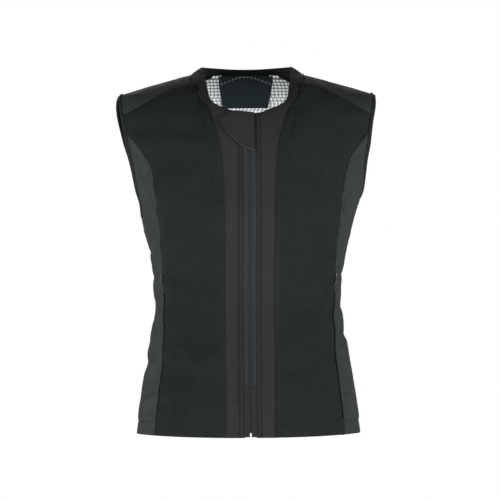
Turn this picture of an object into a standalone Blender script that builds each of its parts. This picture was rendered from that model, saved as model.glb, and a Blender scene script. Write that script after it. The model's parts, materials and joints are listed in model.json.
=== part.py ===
"""A sleeveless airbag vest for motorcycling, keeping the shape it has on a body.

The front faces -Y and the wearer's left is +X. The origin is midway between the
shoulders, at the level where the vest rests on them. Sizes are in metres, and
every height in the tables is a share of LENGTH above the hem.
"""

import math

import bmesh
import bpy
from mathutils import Vector

# Main sizes
LENGTH = 0.600
HALF_WIDTH = 0.2195
FRONT = 0.132
BACK = 0.128
HANG = 0.578

# Cloth thicknesses
PADDED = 0.0045
STRETCH = 0.0022
YOKE = 0.0028
PLACKET = 0.0026
BAND = 0.0032
LINING = 0.0020
FACING = 0.0010
TAPE = 0.0014
COIL = 0.0020
FLAP = 0.0018
TRIM = 0.0018

# Half the gap between two cloths at a seam, by cloth, and the gaps between layers
SEAM_GAP = 0.00035
SIDE_GAP = 0.00055
PADDED_GAP = 0.0008
LAYER_GAP = 0.0009
FACING_GAP = 0.0020
LINING_INSET = 0.006
FOLD_GAP = 0.0006
COIL_SINK = 0.0006
TAPE_SINK = 0.0008

# Half widths of the strips beside the zip, and the rib along its tape
FOLD_EDGE = 0.0109
TAPE_INNER = 0.0023
COIL_HALF = 0.0018
RIB_AT = 0.0042
RIB_RISE = 0.0006
RIB_WIDTH = 0.0012

# Levels and short lengths up the body, as shares of LENGTH
ZIP_FOOT = 0.143
ZIP_HEAD_GAP = 0.004
COVER_FOOT = 0.006
COVER_GAP = 0.003
COVER_SLANT = 0.010
SIDE_HEM = 0.046
HEM_LIFT = 0.008
UNDERARM_SEAM = 0.823
SIDE_SEAM_BEND = 0.700
FACING_FOOT = 0.890
FACING_RISE = 0.083

# Half widths of the patch inside the neck at its foot and head, as shares of HALF_WIDTH
FACING_HALF = (0.170, 0.212)

# Pockets: the welt's width, the share of it that lies behind the seam's line, and its
# foot and length in rows of the side panel; then the pull's three sizes and its row
WELT_WIDTH = 0.0050
WELT_BEHIND = 0.25
WELT_FOOT = 0.1
WELT_ROWS = 6.5
PULLER = (0.0034, 0.018, 0.0018)
PULLER_EDGE = 0.0006
PULLER_ROW = 7.35

# The flap bulges towards its free edge, and each fold has a share of this height
FLAP_BULGE = 0.0022
FOLD_HEIGHT = 0.0034

# Facets: cloths that meet at a seam have the same number along it
PANEL_ROWS = 18
ARM_ROWS = 2
YOKE_COLUMNS = 6
YOKE_ROWS = 8
FRONT_NECK_COLUMNS = 4
BACK_NECK_COLUMNS = 8
SIDE_COLUMNS = 14
PLACKET_COLUMNS = 4
FRONT_COLUMNS = FRONT_NECK_COLUMNS + YOKE_COLUMNS
BACK_COLUMNS = BACK_NECK_COLUMNS + 2 * YOKE_COLUMNS
SIDE_ROWS = PANEL_ROWS - ARM_ROWS - 1

# Body sections: share of LENGTH, of HALF_WIDTH, of FRONT, of BACK, and squareness
BODY = (
    (0.000, 0.830, 0.894, 1.000, 2.30),
    (0.100, 0.794, 0.871, 0.953, 2.30),
    (0.208, 0.745, 0.818, 0.859, 2.30),
    (0.273, 0.720, 0.780, 0.789, 2.30),
    (0.359, 0.690, 0.742, 0.703, 2.30),
    (0.423, 0.694, 0.773, 0.688, 2.30),
    (0.488, 0.715, 0.848, 0.719, 2.32),
    (0.550, 0.754, 0.939, 0.766, 2.35),
    (0.626, 0.811, 1.000, 0.828, 2.40),
    (0.667, 0.866, 0.985, 0.844, 2.38),
    (0.750, 0.945, 0.947, 0.859, 2.32),
    (0.800, 0.990, 0.900, 0.855, 2.28),
    (0.860, 1.012, 0.792, 0.822, 2.24),
    (0.883, 1.006, 0.732, 0.797, 2.22),
    (0.900, 0.992, 0.678, 0.770, 2.20),
    (0.912, 0.972, 0.634, 0.742, 2.20),
    (0.921, 0.948, 0.600, 0.719, 2.20),
    (0.929, 0.888, 0.570, 0.695, 2.20),
    (0.937, 0.812, 0.538, 0.672, 2.20),
    (0.953, 0.661, 0.470, 0.617, 2.18),
    (0.969, 0.506, 0.402, 0.555, 2.14),
    (0.977, 0.425, 0.364, 0.523, 2.10),
    (0.986, 0.384, 0.341, 0.500, 2.05),
    (1.000, 0.3285, 0.303, 0.453, 2.00),
)

# Seam from placket to mesh: share of LENGTH, share of HALF_WIDTH
PLACKET_SEAM = (
    (0.000, 0.184),
    (0.330, 0.184),
    (0.650, 0.190),
    (0.715, 0.196),
    (0.770, 0.207),
    (0.825, 0.226),
    (0.880, 0.255),
    (0.920, 0.293),
)

# Seam from mesh to side panel: share of LENGTH, share of HALF_WIDTH
SIDE_SEAM = (
    (0.000, 0.707),
    (0.073, 0.690),
    (0.122, 0.673),
    (0.176, 0.656),
    (0.221, 0.640),
    (0.278, 0.632),
    (0.338, 0.626),
    (0.389, 0.627),
    (0.446, 0.638),
    (0.489, 0.645),
    (0.532, 0.651),
    (0.586, 0.667),
    (0.624, 0.678),
    (0.667, 0.688),
    (0.701, 0.703),
    (0.736, 0.728),
    (0.760, 0.757),
    (0.780, 0.800),
    (0.805, 0.851),
    (0.823, 0.898),
)

# Front seam of the shoulder yoke: share of HALF_WIDTH, share of LENGTH
YOKE_SEAM = (
    (0.385, 0.9520),
    (0.410, 0.9495),
    (0.492, 0.9445),
    (0.574, 0.9355),
    (0.656, 0.9225),
    (0.738, 0.9075),
    (0.820, 0.8917),
    (0.930, 0.8720),
)

# Back seam of the shoulder yoke: share of HALF_WIDTH, share of LENGTH
BACK_YOKE_SEAM = (
    (0.265, 0.9718),
    (0.400, 0.9560),
    (0.550, 0.9360),
    (0.700, 0.9130),
    (0.820, 0.8920),
    (0.930, 0.8680),
)

# Neck opening from the front middle to the back middle. The opening's edge and the
# band's seam each have a share of HALF_WIDTH and of LENGTH; on the crown the width
# comes from the body section.
NECK = (
    ("front", 0.000, 0.8738, 0.000, 0.8640),
    ("front", 0.085, 0.8777, 0.092, 0.8680),
    ("front", 0.150, 0.8870, 0.166, 0.8765),
    ("front", 0.205, 0.8945, 0.228, 0.8830),
    ("front", 0.268, 0.9085, 0.300, 0.8950),
    ("front", 0.291, 0.9260, 0.350, 0.9150),
    ("front", 0.303, 0.9530, 0.388, 0.9400),
    ("front", 0.313, 0.9790, 0.408, 0.9650),
    ("crown", 0.000, 1.0000, 0.000, 0.9790),
    ("back", 0.296, 0.9990, 0.387, 0.9735),
    ("back", 0.182, 0.9960, 0.237, 0.9710),
    ("back", 0.091, 0.9940, 0.118, 0.9690),
    ("back", 0.000, 0.9933, 0.000, 0.9683),
)
NECK_AT_PLACKET = 0.342
NECK_AT_YOKE = 0.555
NECK_AT_BACK_YOKE = 0.800

# Armhole ovals seen from the side: top and bottom as shares of LENGTH, then half
# depths in front and behind. The bottom differs a little from one side to the other.
ARM_EDGE_TOP = 0.9207
ARM_SEAM_TOP = 0.9255
ARM_BOTTOM = {-1: 0.602, 1: 0.652}
ARM_BAND = 0.0135
ARM_FRONT = 0.056
ARM_BACK = 0.050
ARM_BAND_DEPTH = 0.0075
ARM_SQUARE = 0.88

# The flap over the zip's top, along its upper and lower edge from its free corner to
# its sewn edge: share of the way, share of HALF_WIDTH, share of LENGTH
FLAP_TOP = (
    (0.00, -0.214, 0.8590),
    (0.25, -0.159, 0.8715),
    (0.50, -0.107, 0.8785),
    (1.00, 0.039, 0.8740),
)
FLAP_BOTTOM = (
    (0.00, -0.210, 0.8440),
    (0.30, -0.132, 0.8120),
    (0.70, -0.041, 0.7830),
    (1.00, 0.042, 0.7735),
)

# Folds: angle round the body in degrees (0 front, + wearer's left), level as a share
# of LENGTH, rise of the fold's line in degrees, half length and half width as shares
# of LENGTH, and share of FOLD_HEIGHT
FOLDS = (
    (-66, 0.215, 35, 0.083, 0.018, 0.82),
    (-70, 0.160, 28, 0.075, 0.020, -0.71),
    (-62, 0.330, 55, 0.075, 0.020, 0.65),
    (-78, 0.480, -20, 0.067, 0.022, -0.65),
    (72, 0.345, -30, 0.083, 0.018, 1.00),
    (78, 0.300, -18, 0.075, 0.017, -0.76),
    (70, 0.240, -40, 0.083, 0.020, 0.76),
    (64, 0.590, -62, 0.075, 0.018, 0.71),
    (40, 0.180, 60, 0.117, 0.027, 0.47),
    (-38, 0.250, -62, 0.117, 0.027, 0.47),
    (36, 0.640, -50, 0.100, 0.030, 0.53),
    (-36, 0.660, 50, 0.100, 0.030, 0.53),
    (14, 0.330, 30, 0.050, 0.020, 0.29),
    (150, 0.330, 8, 0.133, 0.023, 0.76),
    (-150, 0.300, -8, 0.133, 0.023, 0.76),
    (180, 0.400, 0, 0.100, 0.023, -0.53),
)

FABRIC_COLOURS = {
    "mesh": (0.024, 0.027, 0.029),
    "stretch": (0.058, 0.064, 0.068),
    "yoke": (0.028, 0.032, 0.034),
    "placket": (0.037, 0.037, 0.037),
    "band": (0.020, 0.022, 0.023),
    "lining": (0.400, 0.420, 0.430),
    "facing": (0.012, 0.014, 0.014),
    "zip": (0.034, 0.038, 0.041),
    "metal": (0.300, 0.310, 0.320),
}


def value_at(rows, column, at):
    """A column of a table at a value of its first column, on a curve that never overshoots."""
    if at <= rows[0][0]:
        return rows[0][column]
    if at >= rows[-1][0]:
        return rows[-1][column]
    low = 0
    while rows[low + 1][0] < at:
        low += 1
    span = rows[low + 1][0] - rows[low][0]
    part = (at - rows[low][0]) / span
    start = slope_at(rows, column, low) * span
    end = slope_at(rows, column, low + 1) * span
    first = rows[low][column]
    second = rows[low + 1][column]
    square = part * part
    cube = square * part
    return (
        first * (2 * cube - 3 * square + 1)
        + start * (cube - 2 * square + part)
        + second * (3 * square - 2 * cube)
        + end * (cube - square)
    )


def slope_at(rows, column, index):
    """Slope of a table's curve at one row: flat at a peak, and the gentler mean elsewhere."""
    steps = []
    for low in (index - 1, index):
        if 0 <= low < len(rows) - 1:
            rise = rows[low + 1][column] - rows[low][column]
            steps.append(rise / (rows[low + 1][0] - rows[low][0]))
    if len(steps) == 1:
        return steps[0]
    if steps[0] * steps[1] <= 0:
        return 0.0
    return 2 * steps[0] * steps[1] / (steps[0] + steps[1])


def section(height):
    """Half width, front depth, back depth and squareness at a share of LENGTH."""
    return (
        value_at(BODY, 1, height) * HALF_WIDTH,
        value_at(BODY, 2, height) * FRONT,
        value_at(BODY, 3, height) * BACK,
        value_at(BODY, 4, height),
    )


def plain_point(angle, height):
    """A point of the smooth body, at an angle from the front middle and a share of LENGTH."""
    width, front, back, square = section(height)
    sine = math.sin(angle)
    cosine = math.cos(angle)
    depth = -front if cosine > 0 else back
    across = math.copysign(abs(sine) ** (2 / square), sine)
    return Vector((width * across, depth * abs(cosine) ** (2 / square), height * LENGTH - HANG))


def outward(angle, height):
    """Unit normal of the smooth body."""
    turn = 0.004
    rise = 0.002
    around = plain_point(angle + turn, height) - plain_point(angle - turn, height)
    upper = min(height + rise, 1.0)
    up = plain_point(angle, upper) - plain_point(angle, upper - 2 * rise)
    return around.cross(up).normalized()


def fold_height(angle, height):
    """How far the folds lift the cloth off the smooth body."""
    total = 0.0
    reach = section(height)[0]
    for degrees, level, rise, half_length, half_width, lift in FOLDS:
        turn = (angle - math.radians(degrees) + math.pi) % (2 * math.pi) - math.pi
        across = turn * reach / LENGTH
        up = height - level
        tilt = math.radians(rise)
        along = (across * math.cos(tilt) + up * math.sin(tilt)) / half_length
        over = (up * math.cos(tilt) - across * math.sin(tilt)) / half_width
        total += lift * FOLD_HEIGHT * math.exp(-along * along - over * over)
    return total


def cloth_point(angle, height, lift=0.0):
    """A point of the cloth's outer face, moved outwards by lift."""
    away = lift + fold_height(angle, height)
    return plain_point(angle, height) + outward(angle, height) * away


def angle_at_width(across, height, behind=False):
    """Angle of the point that lies at a distance to the side, in front or behind."""
    width, _, _, square = section(height)
    share = min(abs(across) / width, 1.0) ** (square / 2)
    angle = math.asin(share)
    if behind:
        angle = math.pi - angle
    return math.copysign(angle, across)


def angle_at_depth(depth, height):
    """Angle on the +X side of the point that lies at a depth."""
    _, front, back, square = section(height)
    if depth < 0:
        return math.acos(min(-depth / front, 1.0) ** (square / 2))
    return math.pi - math.acos(min(depth / back, 1.0) ** (square / 2))


def hem_height(angle):
    """The hem rises a little towards the sides."""
    return HEM_LIFT * math.sin(angle) ** 2


def mix(first, second, part):
    return tuple(a + (b - a) * part for a, b in zip(first, second))


def neck_point(which, along):
    """Angle and height on the neck's edge (1) or band seam (3), from the front 0 to the back 1."""
    rows = []
    for index, row in enumerate(NECK):
        face, width, height = row[0], row[which] * HALF_WIDTH, row[which + 1]
        angle = math.pi / 2 if face == "crown" else angle_at_width(width, height, face == "back")
        rows.append((index / (len(NECK) - 1), angle, height))
    return value_at(rows, 1, along), value_at(rows, 2, along)


def arm_point(side, part, turn):
    """Angle and height on an armhole oval: part 0 is its edge and 1 the band's seam."""
    top = ARM_EDGE_TOP + (ARM_SEAM_TOP - ARM_EDGE_TOP) * part
    bottom = ARM_BOTTOM[side] - ARM_BAND * part
    height = (top + bottom) / 2 + (top - bottom) / 2 * math.cos(turn)
    sine = math.sin(turn)
    reach = (ARM_FRONT if sine > 0 else ARM_BACK) + ARM_BAND_DEPTH * part
    depth = -math.copysign(reach * abs(sine) ** ARM_SQUARE, sine)
    return angle_at_depth(depth, height), height


def arm_turn(side, height):
    """Turn from the top of the armhole's seam at which it reaches a height."""
    bottom = ARM_BOTTOM[side] - ARM_BAND
    share = (2 * height - ARM_SEAM_TOP - bottom) / (ARM_SEAM_TOP - bottom)
    return math.acos(max(-1.0, min(1.0, share)))


def placket_seam(up):
    top = neck_point(3, NECK_AT_PLACKET)
    height = top[1] * up
    width = value_at(PLACKET_SEAM, 1, height) * HALF_WIDTH
    angle = angle_at_width(width, height)
    end = angle_at_width(value_at(PLACKET_SEAM, 1, top[1]) * HALF_WIDTH, top[1])
    near = max(0.0, (up - 0.9) / 0.1)
    return angle + (top[0] - end) * near, height


def side_seam(side, up, low=0.0, behind=False):
    """The seam beside the stretch panel, from a low level up to the armhole."""
    height = low + (UNDERARM_SEAM - low) * up
    width = value_at(SIDE_SEAM, 1, height) * HALF_WIDTH
    angle = angle_at_width(width, height, behind)
    turn = arm_turn(side, UNDERARM_SEAM)
    top = arm_point(side, 1, -turn if behind else turn)[0]
    end = angle_at_width(SIDE_SEAM[-1][1] * HALF_WIDTH, UNDERARM_SEAM, behind)
    near = max(0.0, (height - SIDE_SEAM_BEND) / (UNDERARM_SEAM - SIDE_SEAM_BEND))
    return angle + (top - end) * near * near, height


def outer_line(side, up, behind=False):
    """Outer edge of a front or back panel: the side seam, then the armhole up to the yoke."""
    row = up * PANEL_ROWS
    if row <= 1:
        angle, height = side_seam(side, 0.0, SIDE_HEM * row, behind)
        low = hem_height(angle)
        return angle, low + (SIDE_HEM - low) * row
    if row <= 1 + SIDE_ROWS:
        return side_seam(side, (row - 1) / SIDE_ROWS, SIDE_HEM, behind)
    start = arm_turn(side, UNDERARM_SEAM)
    end = yoke_turn(side, behind)
    turn = start + (end - start) * (row - 1 - SIDE_ROWS) / ARM_ROWS
    return arm_point(side, 1, -turn if behind else turn)


def yoke_turn(side, behind):
    """Where the yoke's seam meets the armhole."""
    return arm_turn(side, (BACK_YOKE_SEAM if behind else YOKE_SEAM)[-1][1])


def yoke_seam(side, out, behind=False):
    """The yoke's front or back seam, from the neck 0 to the armhole 1."""
    inner = neck_point(3, NECK_AT_BACK_YOKE if behind else NECK_AT_YOKE)
    turn = yoke_turn(side, behind)
    outer = arm_point(side, 1, -turn if behind else turn)
    start = plain_point(*inner).x / HALF_WIDTH
    end = plain_point(*outer).x / HALF_WIDTH
    width = start + (end - start) * out
    table = BACK_YOKE_SEAM if behind else YOKE_SEAM
    height = value_at(table, 1, width)
    first_fix = inner[1] - value_at(table, 1, start)
    last_fix = outer[1] - value_at(table, 1, end)
    height += first_fix * (1 - out) ** 2 + last_fix * out**2
    angle = angle_at_width(width * HALF_WIDTH, height, behind)
    return mix((angle, height), inner if out < 0.5 else outer, abs(2 * out - 1) ** 8)


def between(bottom, top, left, right, holds=(1, 1)):
    """A patch that meets four seams, each a function from 0..1 to an angle and a height.

    Larger holds keep the top seam's shape, sideways and in height, close to that seam.
    """
    corners = (bottom(0.0), bottom(1.0), top(0.0), top(1.0))

    def patch(across, up):
        low, high = bottom(across), top(across)
        start, end = left(up), right(up)
        found = []
        for k in (0, 1):
            rise = up ** holds[k]
            flat = (
                corners[0][k] * (1 - across) * (1 - rise)
                + corners[1][k] * across * (1 - rise)
                + corners[2][k] * (1 - across) * rise
                + corners[3][k] * across * rise
            )
            edges = low[k] * (1 - rise) + high[k] * rise
            found.append(edges + start[k] * (1 - across) + end[k] * across - flat)
        return found[0], found[1]

    return patch


def between_widths(bottom, top, left, right, behind=False):
    """Like between, but spread evenly by the distance to the side, for the front or the back."""

    def by_width(seam):
        def found(part):
            angle, height = seam(part)
            return plain_point(angle, height).x, height

        return found

    patch = between(by_width(bottom), by_width(top), by_width(left), by_width(right))

    def point(across, up):
        width, height = patch(across, up)
        return angle_at_width(width, height, behind), height

    return point


def front_patch(side):
    inner = FRONT_NECK_COLUMNS / FRONT_COLUMNS

    def bottom(out):
        start = placket_seam(0.0)[0]
        end = side_seam(side, 0.0)[0]
        angle = start + (end - start) * out
        return angle, hem_height(angle)

    def top(out):
        if out <= inner:
            along = NECK_AT_PLACKET + (NECK_AT_YOKE - NECK_AT_PLACKET) * out / inner
            return neck_point(3, along)
        return yoke_seam(side, (out - inner) / (1 - inner))

    def left(up):
        angle, height = placket_seam(up)
        return angle, max(height, hem_height(angle) * (1 - up))

    def right(up):
        return outer_line(side, up)

    return between_widths(bottom, top, left, right)


def side_patch(side):
    def bottom(back):
        start = side_seam(side, 0.0, SIDE_HEM)[0]
        end = side_seam(side, 0.0, SIDE_HEM, True)[0]
        return start + (end - start) * back, SIDE_HEM

    def top(back):
        turn = arm_turn(side, UNDERARM_SEAM)
        return arm_point(side, 1, turn + (2 * math.pi - 2 * turn) * back)

    def left(up):
        return side_seam(side, up, SIDE_HEM)

    def right(up):
        return side_seam(side, up, SIDE_HEM, True)

    return between(bottom, top, left, right, holds=(4, 2))


def side_hem_patch(side):
    def point(back, up):
        height = SIDE_HEM * up
        start = side_seam(side, 0.0, height)[0]
        end = side_seam(side, 0.0, height, True)[0]
        angle = start + (end - start) * back
        low = hem_height(angle)
        return angle, low + (SIDE_HEM - low) * up

    return point


def back_patch():
    """The back from the wearer's left seam round to the right one."""
    shares = (YOKE_COLUMNS / BACK_COLUMNS, 1 - YOKE_COLUMNS / BACK_COLUMNS)

    def mirrored(point):
        return 2 * math.pi - point[0], point[1]

    def bottom(out):
        start = side_seam(1, 0.0, 0.0, True)[0]
        end = 2 * math.pi - side_seam(-1, 0.0, 0.0, True)[0]
        angle = start + (end - start) * out
        return angle, hem_height(angle)

    def top(out):
        if out < shares[0]:
            return yoke_seam(1, 1 - out / shares[0], True)
        if out > shares[1]:
            return mirrored(yoke_seam(-1, (out - shares[1]) / (1 - shares[1]), True))
        part = (out - 0.5) / (0.5 - shares[0])
        along = 1 - (1 - NECK_AT_BACK_YOKE) * abs(part)
        found = neck_point(3, along)
        return mirrored(found) if part > 0 else found

    def left(up):
        return outer_line(1, up, True)

    def right(up):
        return mirrored(outer_line(-1, up, True))

    return between_widths(bottom, top, left, right, True)


def yoke_patch(side):
    """The yoke, from its front seam over the shoulder to its back seam."""

    def bottom(out):
        return yoke_seam(side, out)

    def top(out):
        return yoke_seam(side, out, True)

    def left(over):
        return neck_point(3, NECK_AT_YOKE + (NECK_AT_BACK_YOKE - NECK_AT_YOKE) * over)

    def right(over):
        start = yoke_turn(side, False)
        end = -yoke_turn(side, True)
        return arm_point(side, 1, start + (end - start) * over)

    return between(bottom, top, left, right)


def placket_patch(side):
    """The placket from the fold beside the zip to the mesh seam."""

    def inner(up):
        height = neck_point(3, 0.0)[1] * up
        return angle_at_width(FOLD_EDGE, height), height

    def bottom(out):
        start = inner(0.0)[0]
        end = placket_seam(0.0)[0]
        angle = start + (end - start) * out
        return angle, hem_height(angle)

    def top(out):
        start = neck_start(FOLD_EDGE)
        return neck_point(3, start + (NECK_AT_PLACKET - start) * out)

    def left(up):
        angle, height = inner(up)
        fix = top(0.0)[1] - neck_point(3, 0.0)[1]
        return angle, height + fix * up

    return between(bottom, top, left, placket_seam)


def neck_start(across):
    """Share along the neck's front at which the band's seam is this far from the middle."""
    low = 0.0
    high = NECK_AT_PLACKET
    for _ in range(20):
        middle = (low + high) / 2
        if plain_point(*neck_point(3, middle)).x < across:
            low = middle
        else:
            high = middle
    return low


def neck_stations():
    """Shares along half the neck's seam at which the cloths that meet it have a facet edge."""
    stops = (
        (0.0, 1),
        (neck_start(FOLD_EDGE), PLACKET_COLUMNS),
        (NECK_AT_PLACKET, FRONT_NECK_COLUMNS),
        (NECK_AT_YOKE, YOKE_ROWS),
        (NECK_AT_BACK_YOKE, BACK_NECK_COLUMNS // 2),
    )
    ends = [stop[0] for stop in stops[1:]] + [1.0]
    found = []
    for (start, count), end in zip(stops, ends):
        found += [start + (end - start) * k / count for k in range(count)]
    return found


def arm_stations(side):
    """Turns round an armhole at which the cloths that meet it have a facet edge."""
    front = arm_turn(side, UNDERARM_SEAM)
    yoke_front = yoke_turn(side, False)
    yoke_back = yoke_turn(side, True)
    whole = 2 * math.pi
    stops = (
        (-yoke_back, YOKE_ROWS),
        (yoke_front, ARM_ROWS),
        (front, SIDE_COLUMNS),
        (whole - front, ARM_ROWS),
    )
    ends = [stop[0] for stop in stops[1:]] + [whole - yoke_back]
    found = []
    for (start, count), end in zip(stops, ends):
        found += [start + (end - start) * k / count for k in range(count)]
    return found


def strip_patch(inner, outer, foot, head, foot_slant=0.0):
    """A strip down the front between two distances from the middle."""

    def point(out, up):
        start = foot
        end = head + foot_slant * (1 - out)
        height = start + (end - start) * up
        width = inner + (outer - inner) * out
        return angle_at_width(width, height), height

    return point


def clean_object(name, colour, metallic=0.0):
    """A mesh object with its own material."""
    data = bpy.data.meshes.new(name)
    thing = bpy.data.objects.new(name, data)
    bpy.data.collections["Airbag vest"].objects.link(thing)
    material = bpy.data.materials.new(name)
    material.use_nodes = True
    shader = material.node_tree.nodes["Principled BSDF"]
    shader.inputs["Base Color"].default_value = (*FABRIC_COLOURS[colour], 1.0)
    shader.inputs["Roughness"].default_value = 0.4 if metallic else 0.85
    shader.inputs["Metallic"].default_value = metallic
    data.materials.append(material)
    return thing


def drawn_in(points, columns, rows, closed, gap):
    """Edge points moved inwards by half the seam's gap."""
    moved = {}
    for i in range(columns + 1):
        for j in range(rows + 1):
            shift = Vector((0, 0, 0))
            here = points[i, j]
            if not closed and i in (0, columns):
                near = points[1 if i == 0 else columns - 1, j]
                shift += (near - here).normalized() * gap
            if j in (0, rows):
                near = points[i, 1 if j == 0 else rows - 1]
                shift += (near - here).normalized() * gap
            moved[i, j] = here + shift
    return moved


def cloth(name, place, columns, rows, thickness, colour, side=1, closed=False, gap=SEAM_GAP):
    """One cloth: a grid laid on the body by place(across, up), thickened both ways."""
    thing = clean_object(name, colour)
    points = {}
    for i in range(columns + 1):
        for j in range(rows + 1):
            points[i, j] = place(i / columns, j / rows)
    points = drawn_in(points, columns, rows, closed, gap)
    shape = bmesh.new()
    bmesh.ops.create_grid(shape, x_segments=columns, y_segments=rows, size=1.0)
    for vertex in shape.verts:
        i = round((vertex.co.x + 1) / 2 * columns)
        j = round((vertex.co.y + 1) / 2 * rows)
        vertex.co = points[i, j]
    if closed:
        bmesh.ops.remove_doubles(shape, verts=shape.verts, dist=1e-5)
    if side < 0:
        bmesh.ops.reverse_faces(shape, faces=shape.faces)
    for face in shape.faces:
        face.smooth = True
    shape.to_mesh(thing.data)
    shape.free()
    shell = thing.modifiers.new("Thickness", "SOLIDIFY")
    shell.thickness = thickness
    shell.offset = 0.0
    shell.use_quality_normals = True
    return thing


def on_body(patch, lift, side=1):
    """Lays a patch on one side of the body at a lift, measured to the middle of the cloth."""

    def place(across, up):
        angle, height = patch(across, up)
        return cloth_point(side * angle, height, lift)

    return place


def side_word(side):
    return "left" if side > 0 else "right"


def front_meshes():
    for side in (-1, 1):
        place = on_body(front_patch(side), -PADDED / 2, side)
        name = f"front_mesh_{side_word(side)}"
        cloth(name, place, FRONT_COLUMNS, PANEL_ROWS, PADDED, "mesh", side, gap=PADDED_GAP)


def side_panels():
    for side in (-1, 1):
        place = on_body(side_patch(side), -STRETCH / 2, side)
        name = f"side_panel_{side_word(side)}"
        cloth(name, place, SIDE_COLUMNS, SIDE_ROWS, STRETCH, "stretch", side, gap=SIDE_GAP)
        place = on_body(side_hem_patch(side), -STRETCH / 2, side)
        cloth(f"side_hem_{side_word(side)}", place, SIDE_COLUMNS, 1, STRETCH, "stretch", side)


def back_panels():
    place = on_body(back_patch(), -PADDED / 2)
    cloth("back_panel", place, BACK_COLUMNS, PANEL_ROWS, PADDED, "mesh", gap=PADDED_GAP)
    place = on_body(back_patch(), -PADDED - LAYER_GAP - LINING / 2)
    cloth("back_lining", place, BACK_COLUMNS, PANEL_ROWS, LINING, "lining", gap=LINING_INSET)


def yokes():
    for side in (-1, 1):
        place = on_body(yoke_patch(side), -YOKE / 2, side)
        cloth(f"yoke_{side_word(side)}", place, YOKE_COLUMNS, YOKE_ROWS, YOKE, "yoke", side)


def plackets():
    for side in (-1, 1):
        place = on_body(placket_patch(side), -PLACKET / 2, side)
        cloth(f"placket_{side_word(side)}", place, PLACKET_COLUMNS, PANEL_ROWS, PLACKET, "placket", side)


def zip_parts():
    head = NECK[0][4] - ZIP_HEAD_GAP
    coil = strip_patch(-COIL_HALF, COIL_HALF, ZIP_FOOT, head)

    def coil_place(across, up):
        rise = RIB_RISE * math.sin(math.pi * across)
        return cloth_point(*coil(across, up), rise - COIL / 2 - COIL_SINK)

    cloth("zip_coil", coil_place, 2, 14, COIL, "zip")
    for side in (-1, 1):
        tape = strip_patch(TAPE_INNER, FOLD_EDGE - FOLD_GAP, ZIP_FOOT, head)

        def tape_place(across, up, tape=tape, side=side):
            width = TAPE_INNER + (FOLD_EDGE - TAPE_INNER) * across
            rise = RIB_RISE * math.exp(-(((width - RIB_AT) / RIB_WIDTH) ** 2))
            angle, height = tape(across, up)
            return cloth_point(side * angle, height, rise - TAPE / 2 - TAPE_SINK)

        cloth(f"zip_tape_{side_word(side)}", tape_place, 3, 14, TAPE, "zip", side, gap=0.0)
        top = ZIP_FOOT - COVER_GAP
        cover = strip_patch(FOLD_GAP, FOLD_EDGE - FOLD_GAP, COVER_FOOT, top, -COVER_SLANT)
        place = on_body(cover, -TRIM / 2, side)
        cloth(f"zip_cover_{side_word(side)}", place, 2, 3, TRIM, "placket", side, gap=0.0)


def zip_flap():
    """The flap over the top of the zip, sewn along its edge on the wearer's left."""

    def place(across, up):
        low = value_at(FLAP_BOTTOM, 1, across), value_at(FLAP_BOTTOM, 2, across)
        high = value_at(FLAP_TOP, 1, across), value_at(FLAP_TOP, 2, across)
        share, height = mix(low, high, up)
        bulge = FLAP_BULGE * math.sin(math.pi * up) * (1 - across) ** 0.7
        width = share * HALF_WIDTH - bulge
        return cloth_point(angle_at_width(width, height), height, LAYER_GAP + FLAP / 2)

    cloth("zip_flap", place, 8, 6, FLAP, "placket", gap=0.0)


def armhole_bands():
    for side in (-1, 1):
        turns = arm_stations(side)

        def place(around, across, side=side, turns=turns):
            turn = turns[round(around * len(turns)) % len(turns)]
            angle, height = arm_point(side, 1 - across, turn)
            return cloth_point(side * angle, height, -BAND / 2)

        cloth(f"armhole_band_{side_word(side)}", place, len(turns), 2, BAND, "band", side, closed=True)


def neck_band():
    half = neck_stations()
    whole = half + [2 - along for along in [1.0] + half[:0:-1]]

    def place(around, across):
        along = whole[round(around * len(whole)) % len(whole)]
        share = min(along, 2 - along)
        angle, height = mix(neck_point(3, share), neck_point(1, share), across)
        return cloth_point(-angle if along > 1 else angle, height, -BAND / 2)

    cloth("neck_band", place, len(whole), 2, BAND, "band", closed=True)


def neck_facing():
    """The dark half-moon patch inside the back of the neck."""

    def place(across, up):
        height = FACING_FOOT + FACING_RISE * up
        half = FACING_HALF[0] + (FACING_HALF[1] - FACING_HALF[0]) * up
        width = half * HALF_WIDTH * (1 - 2 * across)
        lift = -PADDED - LAYER_GAP - LINING - FACING_GAP - FACING / 2
        return cloth_point(angle_at_width(width, height, True), height, lift)

    cloth("neck_facing", place, 8, 4, FACING, "facing", gap=0.0)


def beside_seam(side, row, turn, lift):
    """A point beside the side seam, on the flat facets between the panel's rows."""
    low = int(row)
    ends = []
    for step in (low, low + 1):
        angle, height = side_seam(side, step / SIDE_ROWS, SIDE_HEM)
        ends.append(cloth_point(side * (angle + turn), height, lift))
    return ends[0].lerp(ends[1], row - low)


def pocket_welts():
    for side in (-1, 1):

        def place(across, up, side=side):
            turn = (across - WELT_BEHIND) * WELT_WIDTH / FRONT
            return beside_seam(side, WELT_FOOT + WELT_ROWS * up, turn, LAYER_GAP + TRIM / 2)

        cloth(f"pocket_welt_{side_word(side)}", place, 1, 13, TRIM, "stretch", side, gap=0.0)


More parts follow.
